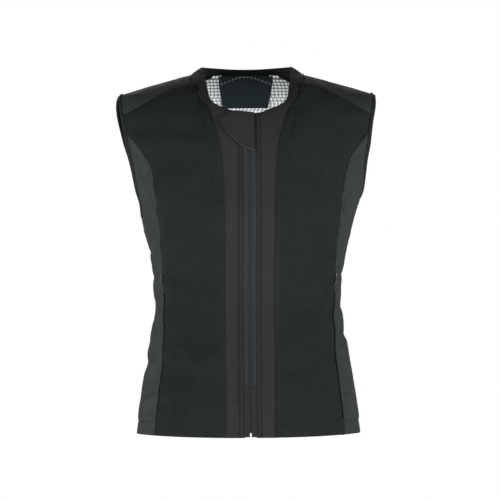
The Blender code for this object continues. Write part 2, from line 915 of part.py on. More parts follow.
def pocket_pullers():
    """Small metal pulls at the tops of the pocket openings."""
    for side in (-1, 1):
        thing = clean_object(f"pocket_puller_{side_word(side)}", "metal", 1.0)
        lift = LAYER_GAP + PULLER[2] / 2
        middle = beside_seam(side, PULLER_ROW, 0.0, lift)
        up = (beside_seam(side, PULLER_ROW + 0.1, 0.0, lift) - middle).normalized()
        inner = beside_seam(side, PULLER_ROW, 0.02 * side, lift)
        along = (inner - middle).normalized()
        normal = along.cross(up).normalized()
        along = up.cross(normal)
        shape = bmesh.new()
        bmesh.ops.create_cube(shape, size=1.0)
        for vertex in shape.verts:
            spread = along * vertex.co.x * PULLER[0] + up * vertex.co.y * PULLER[1]
            vertex.co = middle + spread + normal * vertex.co.z * PULLER[2]
        shape.to_mesh(thing.data)
        shape.free()
        rounded = thing.modifiers.new("Rounded edges", "BEVEL")
        rounded.width = PULLER_EDGE
        rounded.segments = 1


def clear_scene():
    for thing in list(bpy.data.objects):
        bpy.data.objects.remove(thing, do_unlink=True)
    group = bpy.data.collections.new("Airbag vest")
    bpy.context.scene.collection.children.link(group)


def build():
    clear_scene()
    front_meshes()
    side_panels()
    back_panels()
    yokes()
    plackets()
    zip_parts()
    zip_flap()
    armhole_bands()
    neck_band()
    neck_facing()
    pocket_welts()
    pocket_pullers()


build()
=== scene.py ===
"""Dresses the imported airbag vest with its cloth, seams, stitches, zip and lining.

Every cloth is laid on the same body form as the solids, by angle round the body and
by height. The front faces -Y and the wearer's left is +X. Lengths are in metres, and
a height in a table is a share of the vest's length above the hem.
"""

from __future__ import annotations

import json
import logging
import math
from collections.abc import Callable, Sequence
from dataclasses import dataclass, field
from enum import Enum
from functools import cached_property, partial
from typing import ClassVar

import bmesh
import bpy
import numpy as np
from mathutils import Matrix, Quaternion, Vector

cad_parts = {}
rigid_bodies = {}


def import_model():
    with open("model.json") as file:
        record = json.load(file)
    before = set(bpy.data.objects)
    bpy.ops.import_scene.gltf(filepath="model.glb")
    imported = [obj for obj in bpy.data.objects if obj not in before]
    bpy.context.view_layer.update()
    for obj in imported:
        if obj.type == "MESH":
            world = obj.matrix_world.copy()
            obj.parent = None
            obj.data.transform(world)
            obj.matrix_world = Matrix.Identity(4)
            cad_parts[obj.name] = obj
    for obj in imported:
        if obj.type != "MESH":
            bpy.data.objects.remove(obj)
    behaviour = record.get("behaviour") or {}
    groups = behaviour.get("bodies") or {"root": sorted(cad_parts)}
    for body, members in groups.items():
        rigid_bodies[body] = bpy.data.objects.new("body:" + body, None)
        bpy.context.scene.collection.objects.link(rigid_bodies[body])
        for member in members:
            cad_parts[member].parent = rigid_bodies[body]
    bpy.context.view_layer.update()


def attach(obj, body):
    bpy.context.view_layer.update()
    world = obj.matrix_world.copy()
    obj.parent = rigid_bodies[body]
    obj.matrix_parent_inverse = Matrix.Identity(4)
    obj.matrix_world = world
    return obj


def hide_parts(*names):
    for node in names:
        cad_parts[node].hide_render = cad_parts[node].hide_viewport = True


LOG = logging.getLogger("vest")

Array = np.ndarray
Chart = tuple[Array, Array]
Seam = Callable[[Array], Chart]
Patch = Callable[[Array, Array], Chart]
Colour = tuple[float, float, float]
Place = tuple[float, float, float]
Edges = tuple[float, float, float, float]

# Body sections: share of length, of half width, of front depth, of back depth, and
# squareness
BODY = (
    (0.000, 0.830, 0.894, 1.000, 2.30),
    (0.100, 0.794, 0.871, 0.953, 2.30),
    (0.208, 0.745, 0.818, 0.859, 2.30),
    (0.273, 0.720, 0.780, 0.789, 2.30),
    (0.359, 0.690, 0.742, 0.703, 2.30),
    (0.423, 0.694, 0.773, 0.688, 2.30),
    (0.488, 0.715, 0.848, 0.719, 2.32),
    (0.550, 0.754, 0.939, 0.766, 2.35),
    (0.626, 0.811, 1.000, 0.828, 2.40),
    (0.667, 0.866, 0.985, 0.844, 2.38),
    (0.750, 0.945, 0.947, 0.859, 2.32),
    (0.800, 0.990, 0.900, 0.855, 2.28),
    (0.860, 1.012, 0.792, 0.822, 2.24),
    (0.883, 1.006, 0.732, 0.797, 2.22),
    (0.900, 0.992, 0.678, 0.770, 2.20),
    (0.912, 0.972, 0.634, 0.742, 2.20),
    (0.921, 0.948, 0.600, 0.719, 2.20),
    (0.929, 0.888, 0.570, 0.695, 2.20),
    (0.937, 0.812, 0.538, 0.672, 2.20),
    (0.953, 0.661, 0.470, 0.617, 2.18),
    (0.969, 0.506, 0.402, 0.555, 2.14),
    (0.977, 0.425, 0.364, 0.523, 2.10),
    (0.986, 0.384, 0.341, 0.500, 2.05),
    (1.000, 0.3285, 0.303, 0.453, 2.00),
)

# Seam from placket to mesh: share of length, share of half width
PLACKET_SEAM = (
    (0.000, 0.184),
    (0.330, 0.184),
    (0.650, 0.190),
    (0.715, 0.196),
    (0.770, 0.207),
    (0.825, 0.226),
    (0.880, 0.255),
    (0.920, 0.293),
)

# Seam from mesh to side panel: share of length, share of half width
SIDE_SEAM = (
    (0.000, 0.707),
    (0.073, 0.690),
    (0.122, 0.673),
    (0.176, 0.656),
    (0.221, 0.640),
    (0.278, 0.632),
    (0.338, 0.626),
    (0.389, 0.627),
    (0.446, 0.638),
    (0.489, 0.645),
    (0.532, 0.651),
    (0.586, 0.667),
    (0.624, 0.678),
    (0.667, 0.688),
    (0.701, 0.703),
    (0.736, 0.728),
    (0.760, 0.757),
    (0.780, 0.800),
    (0.805, 0.851),
    (0.823, 0.898),
)

# Front seam of the shoulder yoke: share of half width, share of length
YOKE_SEAM = (
    (0.385, 0.9520),
    (0.410, 0.9495),
    (0.492, 0.9445),
    (0.574, 0.9355),
    (0.656, 0.9225),
    (0.738, 0.9075),
    (0.820, 0.8917),
    (0.930, 0.8720),
)

# Back seam of the shoulder yoke: share of half width, share of length
BACK_YOKE_SEAM = (
    (0.265, 0.9718),
    (0.400, 0.9560),
    (0.550, 0.9360),
    (0.700, 0.9130),
    (0.820, 0.8920),
    (0.930, 0.8680),
)

# Neck from the front middle to the back middle: face, then the opening's edge and the
# band's seam, each with a share of half width and of length
NECK = (
    ("front", 0.000, 0.8738, 0.000, 0.8640),
    ("front", 0.085, 0.8777, 0.092, 0.8680),
    ("front", 0.150, 0.8870, 0.166, 0.8765),
    ("front", 0.205, 0.8945, 0.228, 0.8830),
    ("front", 0.268, 0.9085, 0.300, 0.8950),
    ("front", 0.291, 0.9260, 0.350, 0.9150),
    ("front", 0.303, 0.9530, 0.388, 0.9400),
    ("front", 0.313, 0.9790, 0.408, 0.9650),
    ("crown", 0.000, 1.0000, 0.000, 0.9790),
    ("back", 0.296, 0.9990, 0.387, 0.9735),
    ("back", 0.182, 0.9960, 0.237, 0.9710),
    ("back", 0.091, 0.9940, 0.118, 0.9690),
    ("back", 0.000, 0.9933, 0.000, 0.9683),
)

# The flap over the zip's top, along its upper and lower edge from its free corner to
# its sewn edge: share of the way, share of half width, share of length
FLAP_TOP = (
    (0.00, -0.214, 0.8590),
    (0.25, -0.159, 0.8715),
    (0.50, -0.107, 0.8785),
    (1.00, 0.039, 0.8740),
)
FLAP_BOTTOM = (
    (0.00, -0.210, 0.8440),
    (0.30, -0.132, 0.8120),
    (0.70, -0.041, 0.7830),
    (1.00, 0.042, 0.7735),
)

# Folds that the solids share: angle round the body in degrees (0 front, + wearer's
# left), level as a share of length, rise of the fold's line in degrees, half length
# and half width as shares of length, and share of the fold height
FOLDS = (
    (-66, 0.215, 35, 0.083, 0.018, 0.82),
    (-70, 0.160, 28, 0.075, 0.020, -0.71),
    (-62, 0.330, 55, 0.075, 0.020, 0.65),
    (-78, 0.480, -20, 0.067, 0.022, -0.65),
    (72, 0.345, -30, 0.083, 0.018, 1.00),
    (78, 0.300, -18, 0.075, 0.017, -0.76),
    (70, 0.240, -40, 0.083, 0.020, 0.76),
    (64, 0.590, -62, 0.075, 0.018, 0.71),
    (40, 0.180, 60, 0.117, 0.027, 0.47),
    (-38, 0.250, -62, 0.117, 0.027, 0.47),
    (36, 0.640, -50, 0.100, 0.030, 0.53),
    (-36, 0.660, 50, 0.100, 0.030, 0.53),
    (14, 0.330, 30, 0.050, 0.020, 0.29),
    (150, 0.330, 8, 0.133, 0.023, 0.76),
    (-150, 0.300, -8, 0.133, 0.023, 0.76),
    (180, 0.400, 0, 0.100, 0.023, -0.53),
)

# Smaller creases, in the same columns
CREASES = (
    (-8.6, 0.078, 30, 0.020, 0.0052, 0.22),
    (-8.8, 0.112, 32, 0.020, 0.0052, 0.24),
    (-8.8, 0.134, 30, 0.020, 0.0050, 0.20),
    (-8.8, 0.163, 34, 0.020, 0.0052, 0.26),
    (-8.8, 0.187, 30, 0.020, 0.0048, 0.18),
    (-8.8, 0.216, 32, 0.020, 0.0052, 0.24),
    (-8.8, 0.258, 30, 0.020, 0.0055, 0.20),
    (-8.8, 0.282, 26, 0.018, 0.0050, 0.16),
    (-8.8, 0.336, 24, 0.018, 0.0055, 0.16),
    (8.9, 0.120, -26, 0.020, 0.0060, 0.14),
    (8.9, 0.205, -28, 0.020, 0.0060, 0.14),
    (-60, 0.270, 42, 0.045, 0.0075, 0.34),
    (-64, 0.245, 34, 0.040, 0.0070, -0.30),
    (-67, 0.290, 50, 0.040, 0.0075, 0.32),
    (-58, 0.120, 62, 0.045, 0.0080, 0.26),
    (-72, 0.100, 20, 0.040, 0.0080, 0.28),
    (-75, 0.560, -64, 0.045, 0.0080, 0.28),
    (-68, 0.620, -70, 0.040, 0.0070, 0.24),
    (62, 0.385, -38, 0.040, 0.0070, 0.36),
    (66, 0.362, -24, 0.035, 0.0065, -0.30),
    (70, 0.410, -48, 0.035, 0.0065, 0.30),
    (60, 0.310, -52, 0.045, 0.0075, 0.30),
    (66, 0.272, -34, 0.040, 0.0070, 0.26),
    (62, 0.160, -66, 0.050, 0.0085, 0.24),
    (66, 0.650, -58, 0.040, 0.0070, 0.32),
    (70, 0.690, -50, 0.036, 0.0065, 0.26),
    (58, 0.540, -70, 0.045, 0.0080, 0.22),
    (132, 0.380, 14, 0.070, 0.0110, 0.30),
    (-132, 0.350, -14, 0.070, 0.0110, 0.30),
    (120, 0.300, 30, 0.060, 0.0100, 0.26),
    (-120, 0.280, -30, 0.060, 0.0100, 0.26),
    (165, 0.560, 40, 0.080, 0.0150, 0.22),
    (-165, 0.585, -40, 0.080, 0.0150, 0.22),
)


class Side(Enum):
    """The wearer's two sides."""

    RIGHT = -1
    LEFT = 1

    @property
    def word(self) -> str:
        """The side's name as the nodes spell it."""
        return self.name.lower()


class Held(Enum):
    """How a cloth is kept in shape."""

    STRETCHED = "stretched"


def bell(distance: Array, width: float) -> Array:
    """1 where the distance is nothing, and less on a bell curve away from it."""
    return np.exp(-((distance / width) ** 2))


def ramp(value: Array) -> Array:
    """0 below 0, 1 above 1 and a straight rise between."""
    return np.clip(value, 0.0, 1.0)


@dataclass(frozen=True)
class SmoothTable:
    """Rows of numbers read on curves that never overshoot them."""

    rows: tuple[tuple[float, ...], ...]

    def at(self, column: int, place: Array) -> Array:
        """Reads a column.

        Args:
            column: The column's number, from 1.
            place: Values of the first column.

        Returns:
            The column's values there.
        """
        grid = np.array([row[0] for row in self.rows])
        values = np.array([row[column] for row in self.rows])
        steps = np.diff(values) / np.diff(grid)
        product = steps[:-1] * steps[1:]
        total = np.where(product > 0, steps[:-1] + steps[1:], 1.0)
        inner = np.where(product > 0, 2 * product / total, 0.0)
        slopes = np.concatenate(([steps[0]], inner, [steps[-1]]))
        place = np.clip(place, grid[0], grid[-1])
        low = np.clip(np.searchsorted(grid, place, side="right") - 1, 0, len(grid) - 2)
        span = grid[low + 1] - grid[low]
        part = (place - grid[low]) / span
        square = part * part
        cube = square * part
        return (
            values[low] * (2 * cube - 3 * square + 1)
            + slopes[low] * span * (cube - 2 * square + part)
            + values[low + 1] * (3 * square - 2 * cube)
            + slopes[low + 1] * span * (cube - square)
        )


@dataclass(frozen=True)
class BodyForm:
    """The worn shape that every cloth lies on."""

    length: float = 0.600
    half_width: float = 0.2195
    front: float = 0.132
    back: float = 0.128
    hang: float = 0.578
    fold_height: float = 0.0034

    @cached_property
    def table(self) -> SmoothTable:
        """The body sections as a smooth table."""
        return SmoothTable(BODY)

    def plain(self, angle: Array, height: Array) -> Array:
        """Points of the smooth body.

        Args:
            angle: Angles from the front middle.
            height: Heights as shares of the length.

        Returns:
            Points, one row of three numbers each.
        """
        square = self.table.at(4, height)
        sine = np.sin(angle)
        cosine = np.cos(angle)
        front = -self.table.at(2, height) * self.front
        back = self.table.at(3, height) * self.back
        depth = np.where(cosine > 0, front, back)
        across = np.sign(sine) * np.abs(sine) ** (2 / square)
        x = self.table.at(1, height) * self.half_width * across
        y = depth * np.abs(cosine) ** (2 / square)
        return np.stack([x, y, height * self.length - self.hang], axis=-1)

    def outward(self, angle: Array, height: Array) -> Array:
        """Unit normals of the smooth body at angles and heights."""
        turn, rise = 0.004, 0.002
        around = self.plain(angle + turn, height) - self.plain(angle - turn, height)
        upper = np.minimum(height + rise, 1.0)
        up = self.plain(angle, upper) - self.plain(angle, upper - 2 * rise)
        normal = np.cross(around, up)
        return normal / np.linalg.norm(normal, axis=-1, keepdims=True)

    def folds(self, angle: Array, height: Array) -> Array:
        """How far folds and creases lift the cloth at angles and heights."""
        total = np.zeros(np.broadcast(angle, height).shape)
        reach = self.table.at(1, height) * self.half_width / self.length
        for degrees, level, rise, half_length, half_width, lift in FOLDS + CREASES:
            turn = (angle - math.radians(degrees) + math.pi) % (2 * math.pi) - math.pi
            across = turn * reach
            up = height - level
            tilt = math.radians(rise)
            along = (across * math.cos(tilt) + up * math.sin(tilt)) / half_length
            over = (up * math.cos(tilt) - across * math.sin(tilt)) / half_width
            total += lift * self.fold_height * np.exp(-along * along - over * over)
        return total

    def cloth(self, angle: Array, height: Array, lift: Array | float = 0.0) -> Array:
        """Points of the cloth's outer face.

        Args:
            angle: Angles from the front middle.
            height: Heights as shares of the length.
            lift: Distance outwards from that face.

        Returns:
            Points, one row of three numbers each.
        """
        angle, height = np.broadcast_arrays(np.asarray(angle, float), np.asarray(height, float))
        away = self.folds(angle, height) + lift
        return self.plain(angle, height) + self.outward(angle, height) * away[..., None]

    def angle_at_width(self, across: Array, height: Array, behind: bool = False) -> Array:
        """Angles of points at distances to the side, in front or behind."""
        width = self.table.at(1, height) * self.half_width
        share = ramp(np.abs(across) / width)
        angle = np.arcsin(share ** (self.table.at(4, height) / 2))
        angle = np.where(behind, math.pi - angle, angle)
        return np.where(np.asarray(across) < 0, -angle, angle)

    def angle_at_depth(self, depth: Array, height: Array) -> Array:
        """Angles on the wearer's left of points at depths."""
        power = self.table.at(4, height) / 2
        front = ramp(-depth / (self.table.at(2, height) * self.front))
        back = ramp(depth / (self.table.at(3, height) * self.back))
        ahead = np.arccos(front**power)
        return np.where(np.asarray(depth) < 0, ahead, math.pi - np.arccos(back**power))


def patch_between(
    bottom: Seam, top: Seam, left: Seam, right: Seam, holds: tuple[int, int] = (1, 1)
) -> Patch:
    """A patch that meets four seams.

    Args:
        bottom: Lower seam, from a share 0 to 1 of its way.
        top: Upper seam.
        left: Seam at the start of both.
        right: Seam at their end.
        holds: Powers that keep the top seam's shape close to it, sideways and in height.

    Returns:
        A function from shares across and up to angles and heights.
    """
    ends = np.array([0.0, 1.0])
    low_ends = bottom(ends)
    high_ends = top(ends)

    def patch(across: Array, up: Array) -> Chart:
        low, high, start, end = bottom(across), top(across), left(up), right(up)
        found = []
        for k in (0, 1):
            rise = up ** holds[k]
            first = low_ends[k][0] * (1 - rise) + high_ends[k][0] * rise
            last = low_ends[k][1] * (1 - rise) + high_ends[k][1] * rise
            edges = low[k] * (1 - rise) + high[k] * rise
            sides = (start[k] - first) * (1 - across) + (end[k] - last) * across
            found.append(edges + sides)
        return found[0], found[1]

    return patch


@dataclass(frozen=True)
class SeamLines:
    """Where the vest's seams, edges and openings run on the body."""

    form: BodyForm = BodyForm()
    side_hem: float = 0.046
    hem_lift: float = 0.008
    hem_rise: float = 0.0040
    underarm_seam: float = 0.823
    side_seam_bend: float = 0.700
    neck_at_placket: float = 0.342
    neck_at_yoke: float = 0.555
    neck_at_back_yoke: float = 0.800
    arm_edge_top: float = 0.9207
    arm_seam_top: float = 0.9255
    arm_bottom_right: float = 0.602
    arm_bottom_left: float = 0.652
    arm_band: float = 0.0135
    arm_front: float = 0.056
    arm_back: float = 0.050
    arm_band_depth: float = 0.0075
    arm_square: float = 0.88
    fold_edge: float = 0.0098
    panel_rows: int = 18
    arm_rows: int = 2

    @cached_property
    def neck_tables(self) -> tuple[SmoothTable, SmoothTable]:
        """The neck's edge and its band's seam, by share of the way round."""
        tables = []
        for column in (1, 3):
            rows = []
            for index, row in enumerate(NECK):
                width = row[column] * self.form.half_width
                height = row[column + 1]
                angle = math.pi / 2
                if row[0] != "crown":
                    angle = float(self.form.angle_at_width(width, height, row[0] == "back"))
                rows.append((index / (len(NECK) - 1), angle, height))
            tables.append(SmoothTable(tuple(rows)))
        return tables[0], tables[1]

    def neck(self, part: Array | float, along: Array) -> Chart:
        """The neck band at a share of the way round, part 0 its edge and 1 its seam."""
        edge, seam = self.neck_tables
        return (
            edge.at(1, along) * (1 - part) + seam.at(1, along) * part,
            edge.at(2, along) * (1 - part) + seam.at(2, along) * part,
        )

    def arm(self, side: Side, part: Array | float, turn: Array) -> Chart:
        """The armhole band at a turn from its top, part 0 its edge and 1 its seam."""
        low = self.arm_bottom_left if side is Side.LEFT else self.arm_bottom_right
        top = self.arm_edge_top + (self.arm_seam_top - self.arm_edge_top) * part
        bottom = low - self.arm_band * part
        height = (top + bottom) / 2 + (top - bottom) / 2 * np.cos(turn)
        sine = np.sin(turn)
        reach = np.where(sine > 0, self.arm_front, self.arm_back) + self.arm_band_depth * part
        depth = -np.sign(sine) * reach * np.abs(sine) ** self.arm_square
        return self.form.angle_at_depth(depth, height), height

    def arm_turn(self, side: Side, height: float) -> float:
        """Turn from the top of the armhole's seam at which it reaches a height."""
        low = self.arm_bottom_left if side is Side.LEFT else self.arm_bottom_right
        bottom = low - self.arm_band
        share = (2 * height - self.arm_seam_top - bottom) / (self.arm_seam_top - bottom)
        return math.acos(max(-1.0, min(1.0, share)))

    def yoke_turn(self, side: Side, behind: bool) -> float:
        """Turn at which the yoke's seam meets the armhole."""
        table = BACK_YOKE_SEAM if behind else YOKE_SEAM
        return self.arm_turn(side, table[-1][1])

    def hem(self, angle: Array) -> Array:
        """The hem's height, which rises a little towards the sides."""
        return self.hem_rise + self.hem_lift * np.sin(angle) ** 2

    def placket(self, up: Array) -> Chart:
        """The seam between placket and mesh, from hem to neck."""
        top_angle, top_height = self.neck(1, self.neck_at_placket)
        height = self.hem_rise + (top_height - self.hem_rise) * up
        table = SmoothTable(PLACKET_SEAM)
        width = table.at(1, height) * self.form.half_width
        angle = self.form.angle_at_width(width, height)
        end_width = table.at(1, top_height) * self.form.half_width
        end = self.form.angle_at_width(end_width, top_height)
        near = ramp((up - 0.9) / 0.1)
        return angle + (top_angle - end) * near, height

    def side(self, side: Side, up: Array, low: float = 0.0, behind: bool = False) -> Chart:
        """The seam beside the stretch panel, from a low level up to the armhole."""
        height = low + (self.underarm_seam - low) * up
        width = SmoothTable(SIDE_SEAM).at(1, height) * self.form.half_width
        angle = self.form.angle_at_width(width, height, behind)
        turn = self.arm_turn(side, self.underarm_seam)
        top = self.arm(side, 1, -turn if behind else turn)[0]
        last = SIDE_SEAM[-1][1] * self.form.half_width
        end = self.form.angle_at_width(last, self.underarm_seam, behind)
        reach = self.underarm_seam - self.side_seam_bend
        near = ramp((height - self.side_seam_bend) / reach)
        return angle + (top - end) * near * near, height

    def outer(self, side: Side, up: Array, behind: bool = False) -> Chart:
        """Outer edge of a front or back panel: side seam, then armhole, up to the yoke."""
        row = np.asarray(up, float) * self.panel_rows
        side_rows = self.panel_rows - self.arm_rows - 1
        hem_part = ramp(row)
        hem_height = self.side_hem * hem_part
        share = hem_height / self.underarm_seam
        hem_angle = self.side(side, share, 0.0, behind)[0]
        low = self.hem(hem_angle)
        hem_height = low + (self.side_hem - low) * hem_part
        along = ramp((row - 1) / side_rows)
        side_angle, side_height = self.side(side, along, self.side_hem, behind)
        start = self.arm_turn(side, self.underarm_seam)
        end = self.yoke_turn(side, behind)
        turn = start + (end - start) * ramp((row - 1 - side_rows) / self.arm_rows)
        arm_angle, arm_height = self.arm(side, 1, -turn if behind else turn)
        angle = np.where(row <= 1 + side_rows, side_angle, arm_angle)
        height = np.where(row <= 1 + side_rows, side_height, arm_height)
        return np.where(row <= 1, hem_angle, angle), np.where(row <= 1, hem_height, height)

    def yoke(self, side: Side, out: Array, behind: bool = False) -> Chart:
        """The yoke's front or back seam, from the neck 0 to the armhole 1."""
        inner = self.neck(1, self.neck_at_back_yoke if behind else self.neck_at_yoke)
        turn = self.yoke_turn(side, behind)
        outer = self.arm(side, 1, -turn if behind else turn)
        start = self.form.plain(*inner)[..., 0] / self.form.half_width
        end = self.form.plain(*outer)[..., 0] / self.form.half_width
        width = start + (end - start) * out
        table = SmoothTable(BACK_YOKE_SEAM if behind else YOKE_SEAM)
        height = table.at(1, width)
        height = height + (inner[1] - table.at(1, start)) * (1 - out) ** 2
        height = height + (outer[1] - table.at(1, end)) * out**2
        angle = self.form.angle_at_width(width * self.form.half_width, height, behind)
        near = np.abs(2 * out - 1) ** 8
        end_angle = np.where(out < 0.5, inner[0], outer[0])
        end_height = np.where(out < 0.5, inner[1], outer[1])
        return angle + (end_angle - angle) * near, height + (end_height - height) * near

    def neck_start(self, across: float) -> float:
        """Share along the neck's seam at which it is this far from the middle."""
        low = 0.0
        high = self.neck_at_placket
        for _ in range(20):
            middle = (low + high) / 2
            if self.form.plain(*self.neck(1, middle))[..., 0] < across:
                low = middle
            else:
                high = middle
        return low


@dataclass(frozen=True)
class Panels:
    """The cut pieces as patches between the seams."""

    lines: SeamLines
    yoke_columns: int = 6
    front_neck_columns: int = 4
    back_neck_columns: int = 8
    placket_split: float = 0.975
    placket_edge: float = 0.12

    def by_width(self, seams: Sequence[Seam], behind: bool = False) -> Patch:
        """A patch spread evenly by the distance to the side, for the front or the back."""
        form = self.lines.form

        def seen(seam: Seam, part: Array) -> Chart:
            """A seam by distance to the side instead of by angle."""
            angle, height = seam(part)
            return form.plain(angle, height)[..., 0], height

        flat = patch_between(*[partial(seen, seam) for seam in seams])

        def point(across: Array, up: Array) -> Chart:
            """Angle and height."""
            width, height = flat(across, up)
            return form.angle_at_width(width, height, behind), height

        return point

    def front(self, side: Side) -> Patch:
        """A mesh front, from the placket's seam outwards."""
        lines = self.lines
        inner = self.front_neck_columns / (self.front_neck_columns + self.yoke_columns)

        def bottom(out: Array) -> Chart:
            """Along the hem."""
            start = lines.placket(np.float64(0.0))[0]
            end = lines.side(side, np.float64(0.0))[0]
            angle = start + (end - start) * out
            return angle, lines.hem(angle)

        def top(out: Array) -> Chart:
            """Along the neck and then the yoke."""
            share = ramp(out / inner)
            along = lines.neck_at_placket + (lines.neck_at_yoke - lines.neck_at_placket) * share
            neck = lines.neck(1, along)
            yoke = lines.yoke(side, ramp((out - inner) / (1 - inner)))
            return tuple(np.where(out <= inner, neck[k], yoke[k]) for k in (0, 1))

        def left(up: Array) -> Chart:
            """Along the placket."""
            angle, height = lines.placket(up)
            return angle, np.maximum(height, lines.hem(angle) * (1 - up))

        return self.by_width((bottom, top, left, partial(lines.outer, side)))

    def side(self, side: Side) -> Patch:
        """A stretch side panel, from its front seam to its back seam."""
        lines = self.lines

        def bottom(back: Array) -> Chart:
            """Along the side hem's seam."""
            start = lines.side(side, np.float64(0.0), lines.side_hem)[0]
            end = lines.side(side, np.float64(0.0), lines.side_hem, True)[0]
            return start + (end - start) * back, np.full_like(back, lines.side_hem)

        def top(back: Array) -> Chart:
            """Under the armhole."""
            turn = lines.arm_turn(side, lines.underarm_seam)
            return lines.arm(side, 1, turn + (2 * math.pi - 2 * turn) * back)

        left = partial(lines.side, side, low=lines.side_hem)
        right = partial(lines.side, side, low=lines.side_hem, behind=True)
        return patch_between(bottom, top, left, right, holds=(4, 2))

    def side_hem(self, side: Side) -> Patch:
        """The turned band at the foot of a side panel."""
        lines = self.lines

        def point(back: Array, up: Array) -> Chart:
            """Angle and height."""
            share = lines.side_hem * up / lines.underarm_seam
            start = lines.side(side, share)[0]
            end = lines.side(side, share, 0.0, True)[0]
            angle = start + (end - start) * back
            low = lines.hem(angle)
            return angle, low + (lines.side_hem - low) * up

        return point

    def back(self) -> Patch:
        """The back, from the wearer's left seam round to the right one."""
        lines = self.lines
        first = self.yoke_columns / (self.back_neck_columns + 2 * self.yoke_columns)

        def mirrored(chart: Chart) -> Chart:
            """The same line on the wearer's right."""
            return 2 * math.pi - chart[0], chart[1]

        def bottom(out: Array) -> Chart:
            """Along the hem."""
            start = lines.side(Side.LEFT, np.float64(0.0), 0.0, True)[0]
            end = 2 * math.pi - lines.side(Side.RIGHT, np.float64(0.0), 0.0, True)[0]
            angle = start + (end - start) * out
            return angle, lines.hem(angle)

        def top(out: Array) -> Chart:
            """Along one yoke, the neck and the other yoke."""
            near = lines.yoke(Side.LEFT, ramp(1 - out / first), True)
            far_share = ramp((out - 1 + first) / first)
            far = mirrored(lines.yoke(Side.RIGHT, far_share, True))
            part = np.clip((out - 0.5) / (0.5 - first), -1.0, 1.0)
            neck = lines.neck(1, 1 - (1 - lines.neck_at_back_yoke) * np.abs(part))
            turned = mirrored(neck)
            found = []
            for k in (0, 1):
                middle = np.where(part > 0, turned[k], neck[k])
                ends = np.where(out < 0.5, near[k], far[k])
                found.append(np.where((out < first) | (out > 1 - first), ends, middle))
            return found[0], found[1]

        def right(up: Array) -> Chart:
            """The wearer's right side."""
            return mirrored(lines.outer(Side.RIGHT, up, True))

        left = partial(lines.outer, Side.LEFT, behind=True)
        return self.by_width((bottom, top, left, right), True)

    def yoke(self, side: Side) -> Patch:
        """A shoulder yoke, from its front seam over the shoulder to its back seam."""
        lines = self.lines

        def left(over: Array) -> Chart:
            """Along the neck."""
            reach = lines.neck_at_back_yoke - lines.neck_at_yoke
            return lines.neck(1, lines.neck_at_yoke + reach * over)

        def right(over: Array) -> Chart:
            """Along the armhole."""
            start = lines.yoke_turn(side, False)
            end = -lines.yoke_turn(side, True)
            return lines.arm(side, 1, start + (end - start) * over)

        front = partial(lines.yoke, side)
        return patch_between(front, partial(lines.yoke, side, behind=True), left, right)

    def placket(self) -> Patch:
        """A placket, from the fold beside the zip to the mesh seam."""
        lines = self.lines
        start = lines.neck_start(lines.fold_edge)

        def inner(up: Array) -> Chart:
            """Along the fold."""
            height = lines.hem_rise + (lines.neck(1, 0.0)[1] - lines.hem_rise) * up
            return lines.form.angle_at_width(lines.fold_edge, height), height

        def bottom(out: Array) -> Chart:
            """Along the hem."""
            low = inner(np.float64(0.0))[0]
            high = lines.placket(np.float64(0.0))[0]
            angle = low + (high - low) * out
            return angle, lines.hem(angle)

        def top(out: Array) -> Chart:
            """Along the band's seam at the neck."""
            return lines.neck(1, start + (lines.neck_at_placket - start) * out)

        def left(up: Array) -> Chart:
            """The fold, brought up to the neck."""
            angle, height = inner(up)
            rise = lines.neck(1, start)[1] - lines.neck(1, 0.0)[1]
            return angle, height + rise * up

        below = patch_between(bottom, top, left, lines.placket)
        split, edge = self.placket_split, self.placket_edge

        def point(out: Array, up: Array) -> Chart:
            """Angle and height; the last rows turn over the neck's edge."""
            low = below(out, ramp(up / split))
            part = 1 - ramp((up - split) / (1 - split))
            along = start + (lines.neck_at_placket - start) * out
            high = lines.neck(edge + (1 - edge) * part, along)
            return tuple(np.where(up <= split, low[k], high[k]) for k in (0, 1))

        return point

    def strip(self, inner: float, outer: float, foot: float, head: float) -> Patch:
        """A strip down the front between two distances from the middle."""

        def point(out: Array, up: Array) -> Chart:
            """Angle and height."""
            height = foot + (head - foot) * up
            width = inner + (outer - inner) * out
            return self.lines.form.angle_at_width(width, height), height

        return point


def joined(operation: str, turned: bool = False) -> Callable[[Term, Term | float], Term]:
    """A method that joins a term and a number by a Math node, the number first where turned."""

    def method(self: Term, other: Term | float) -> Term:
        """Adds the node."""
        return self.tree.math(operation, *((other, self) if turned else (self, other)))

    return method


class Term:
    """A number in a node tree, so that its maths can be written as Python."""

    __add__ = joined("ADD")
    __radd__ = joined("ADD", turned=True)
    __sub__ = joined("SUBTRACT")
    __rsub__ = joined("SUBTRACT", turned=True)
    __mul__ = joined("MULTIPLY")
    least = joined("MINIMUM")

    def __init__(self, tree: Nodes, socket: bpy.types.NodeSocket) -> None:
        """Keeps the tree and the socket."""
        self.tree = tree
        self.socket = socket

    def __abs__(self) -> Term:
        """Its size without its sign."""
        return self.tree.math("ABSOLUTE", self)

    def sine(self) -> Term:
        """Its sine."""
        return self.tree.math("SINE", self)

    def step(self, low: float, high: float) -> Term:
        """0 below low, 1 above high and a smooth rise between."""
        sockets = {"Value": self, "From Min": low, "From Max": high}
        return self.tree.term("ShaderNodeMapRange", {"interpolation_type": "SMOOTHSTEP"}, sockets)


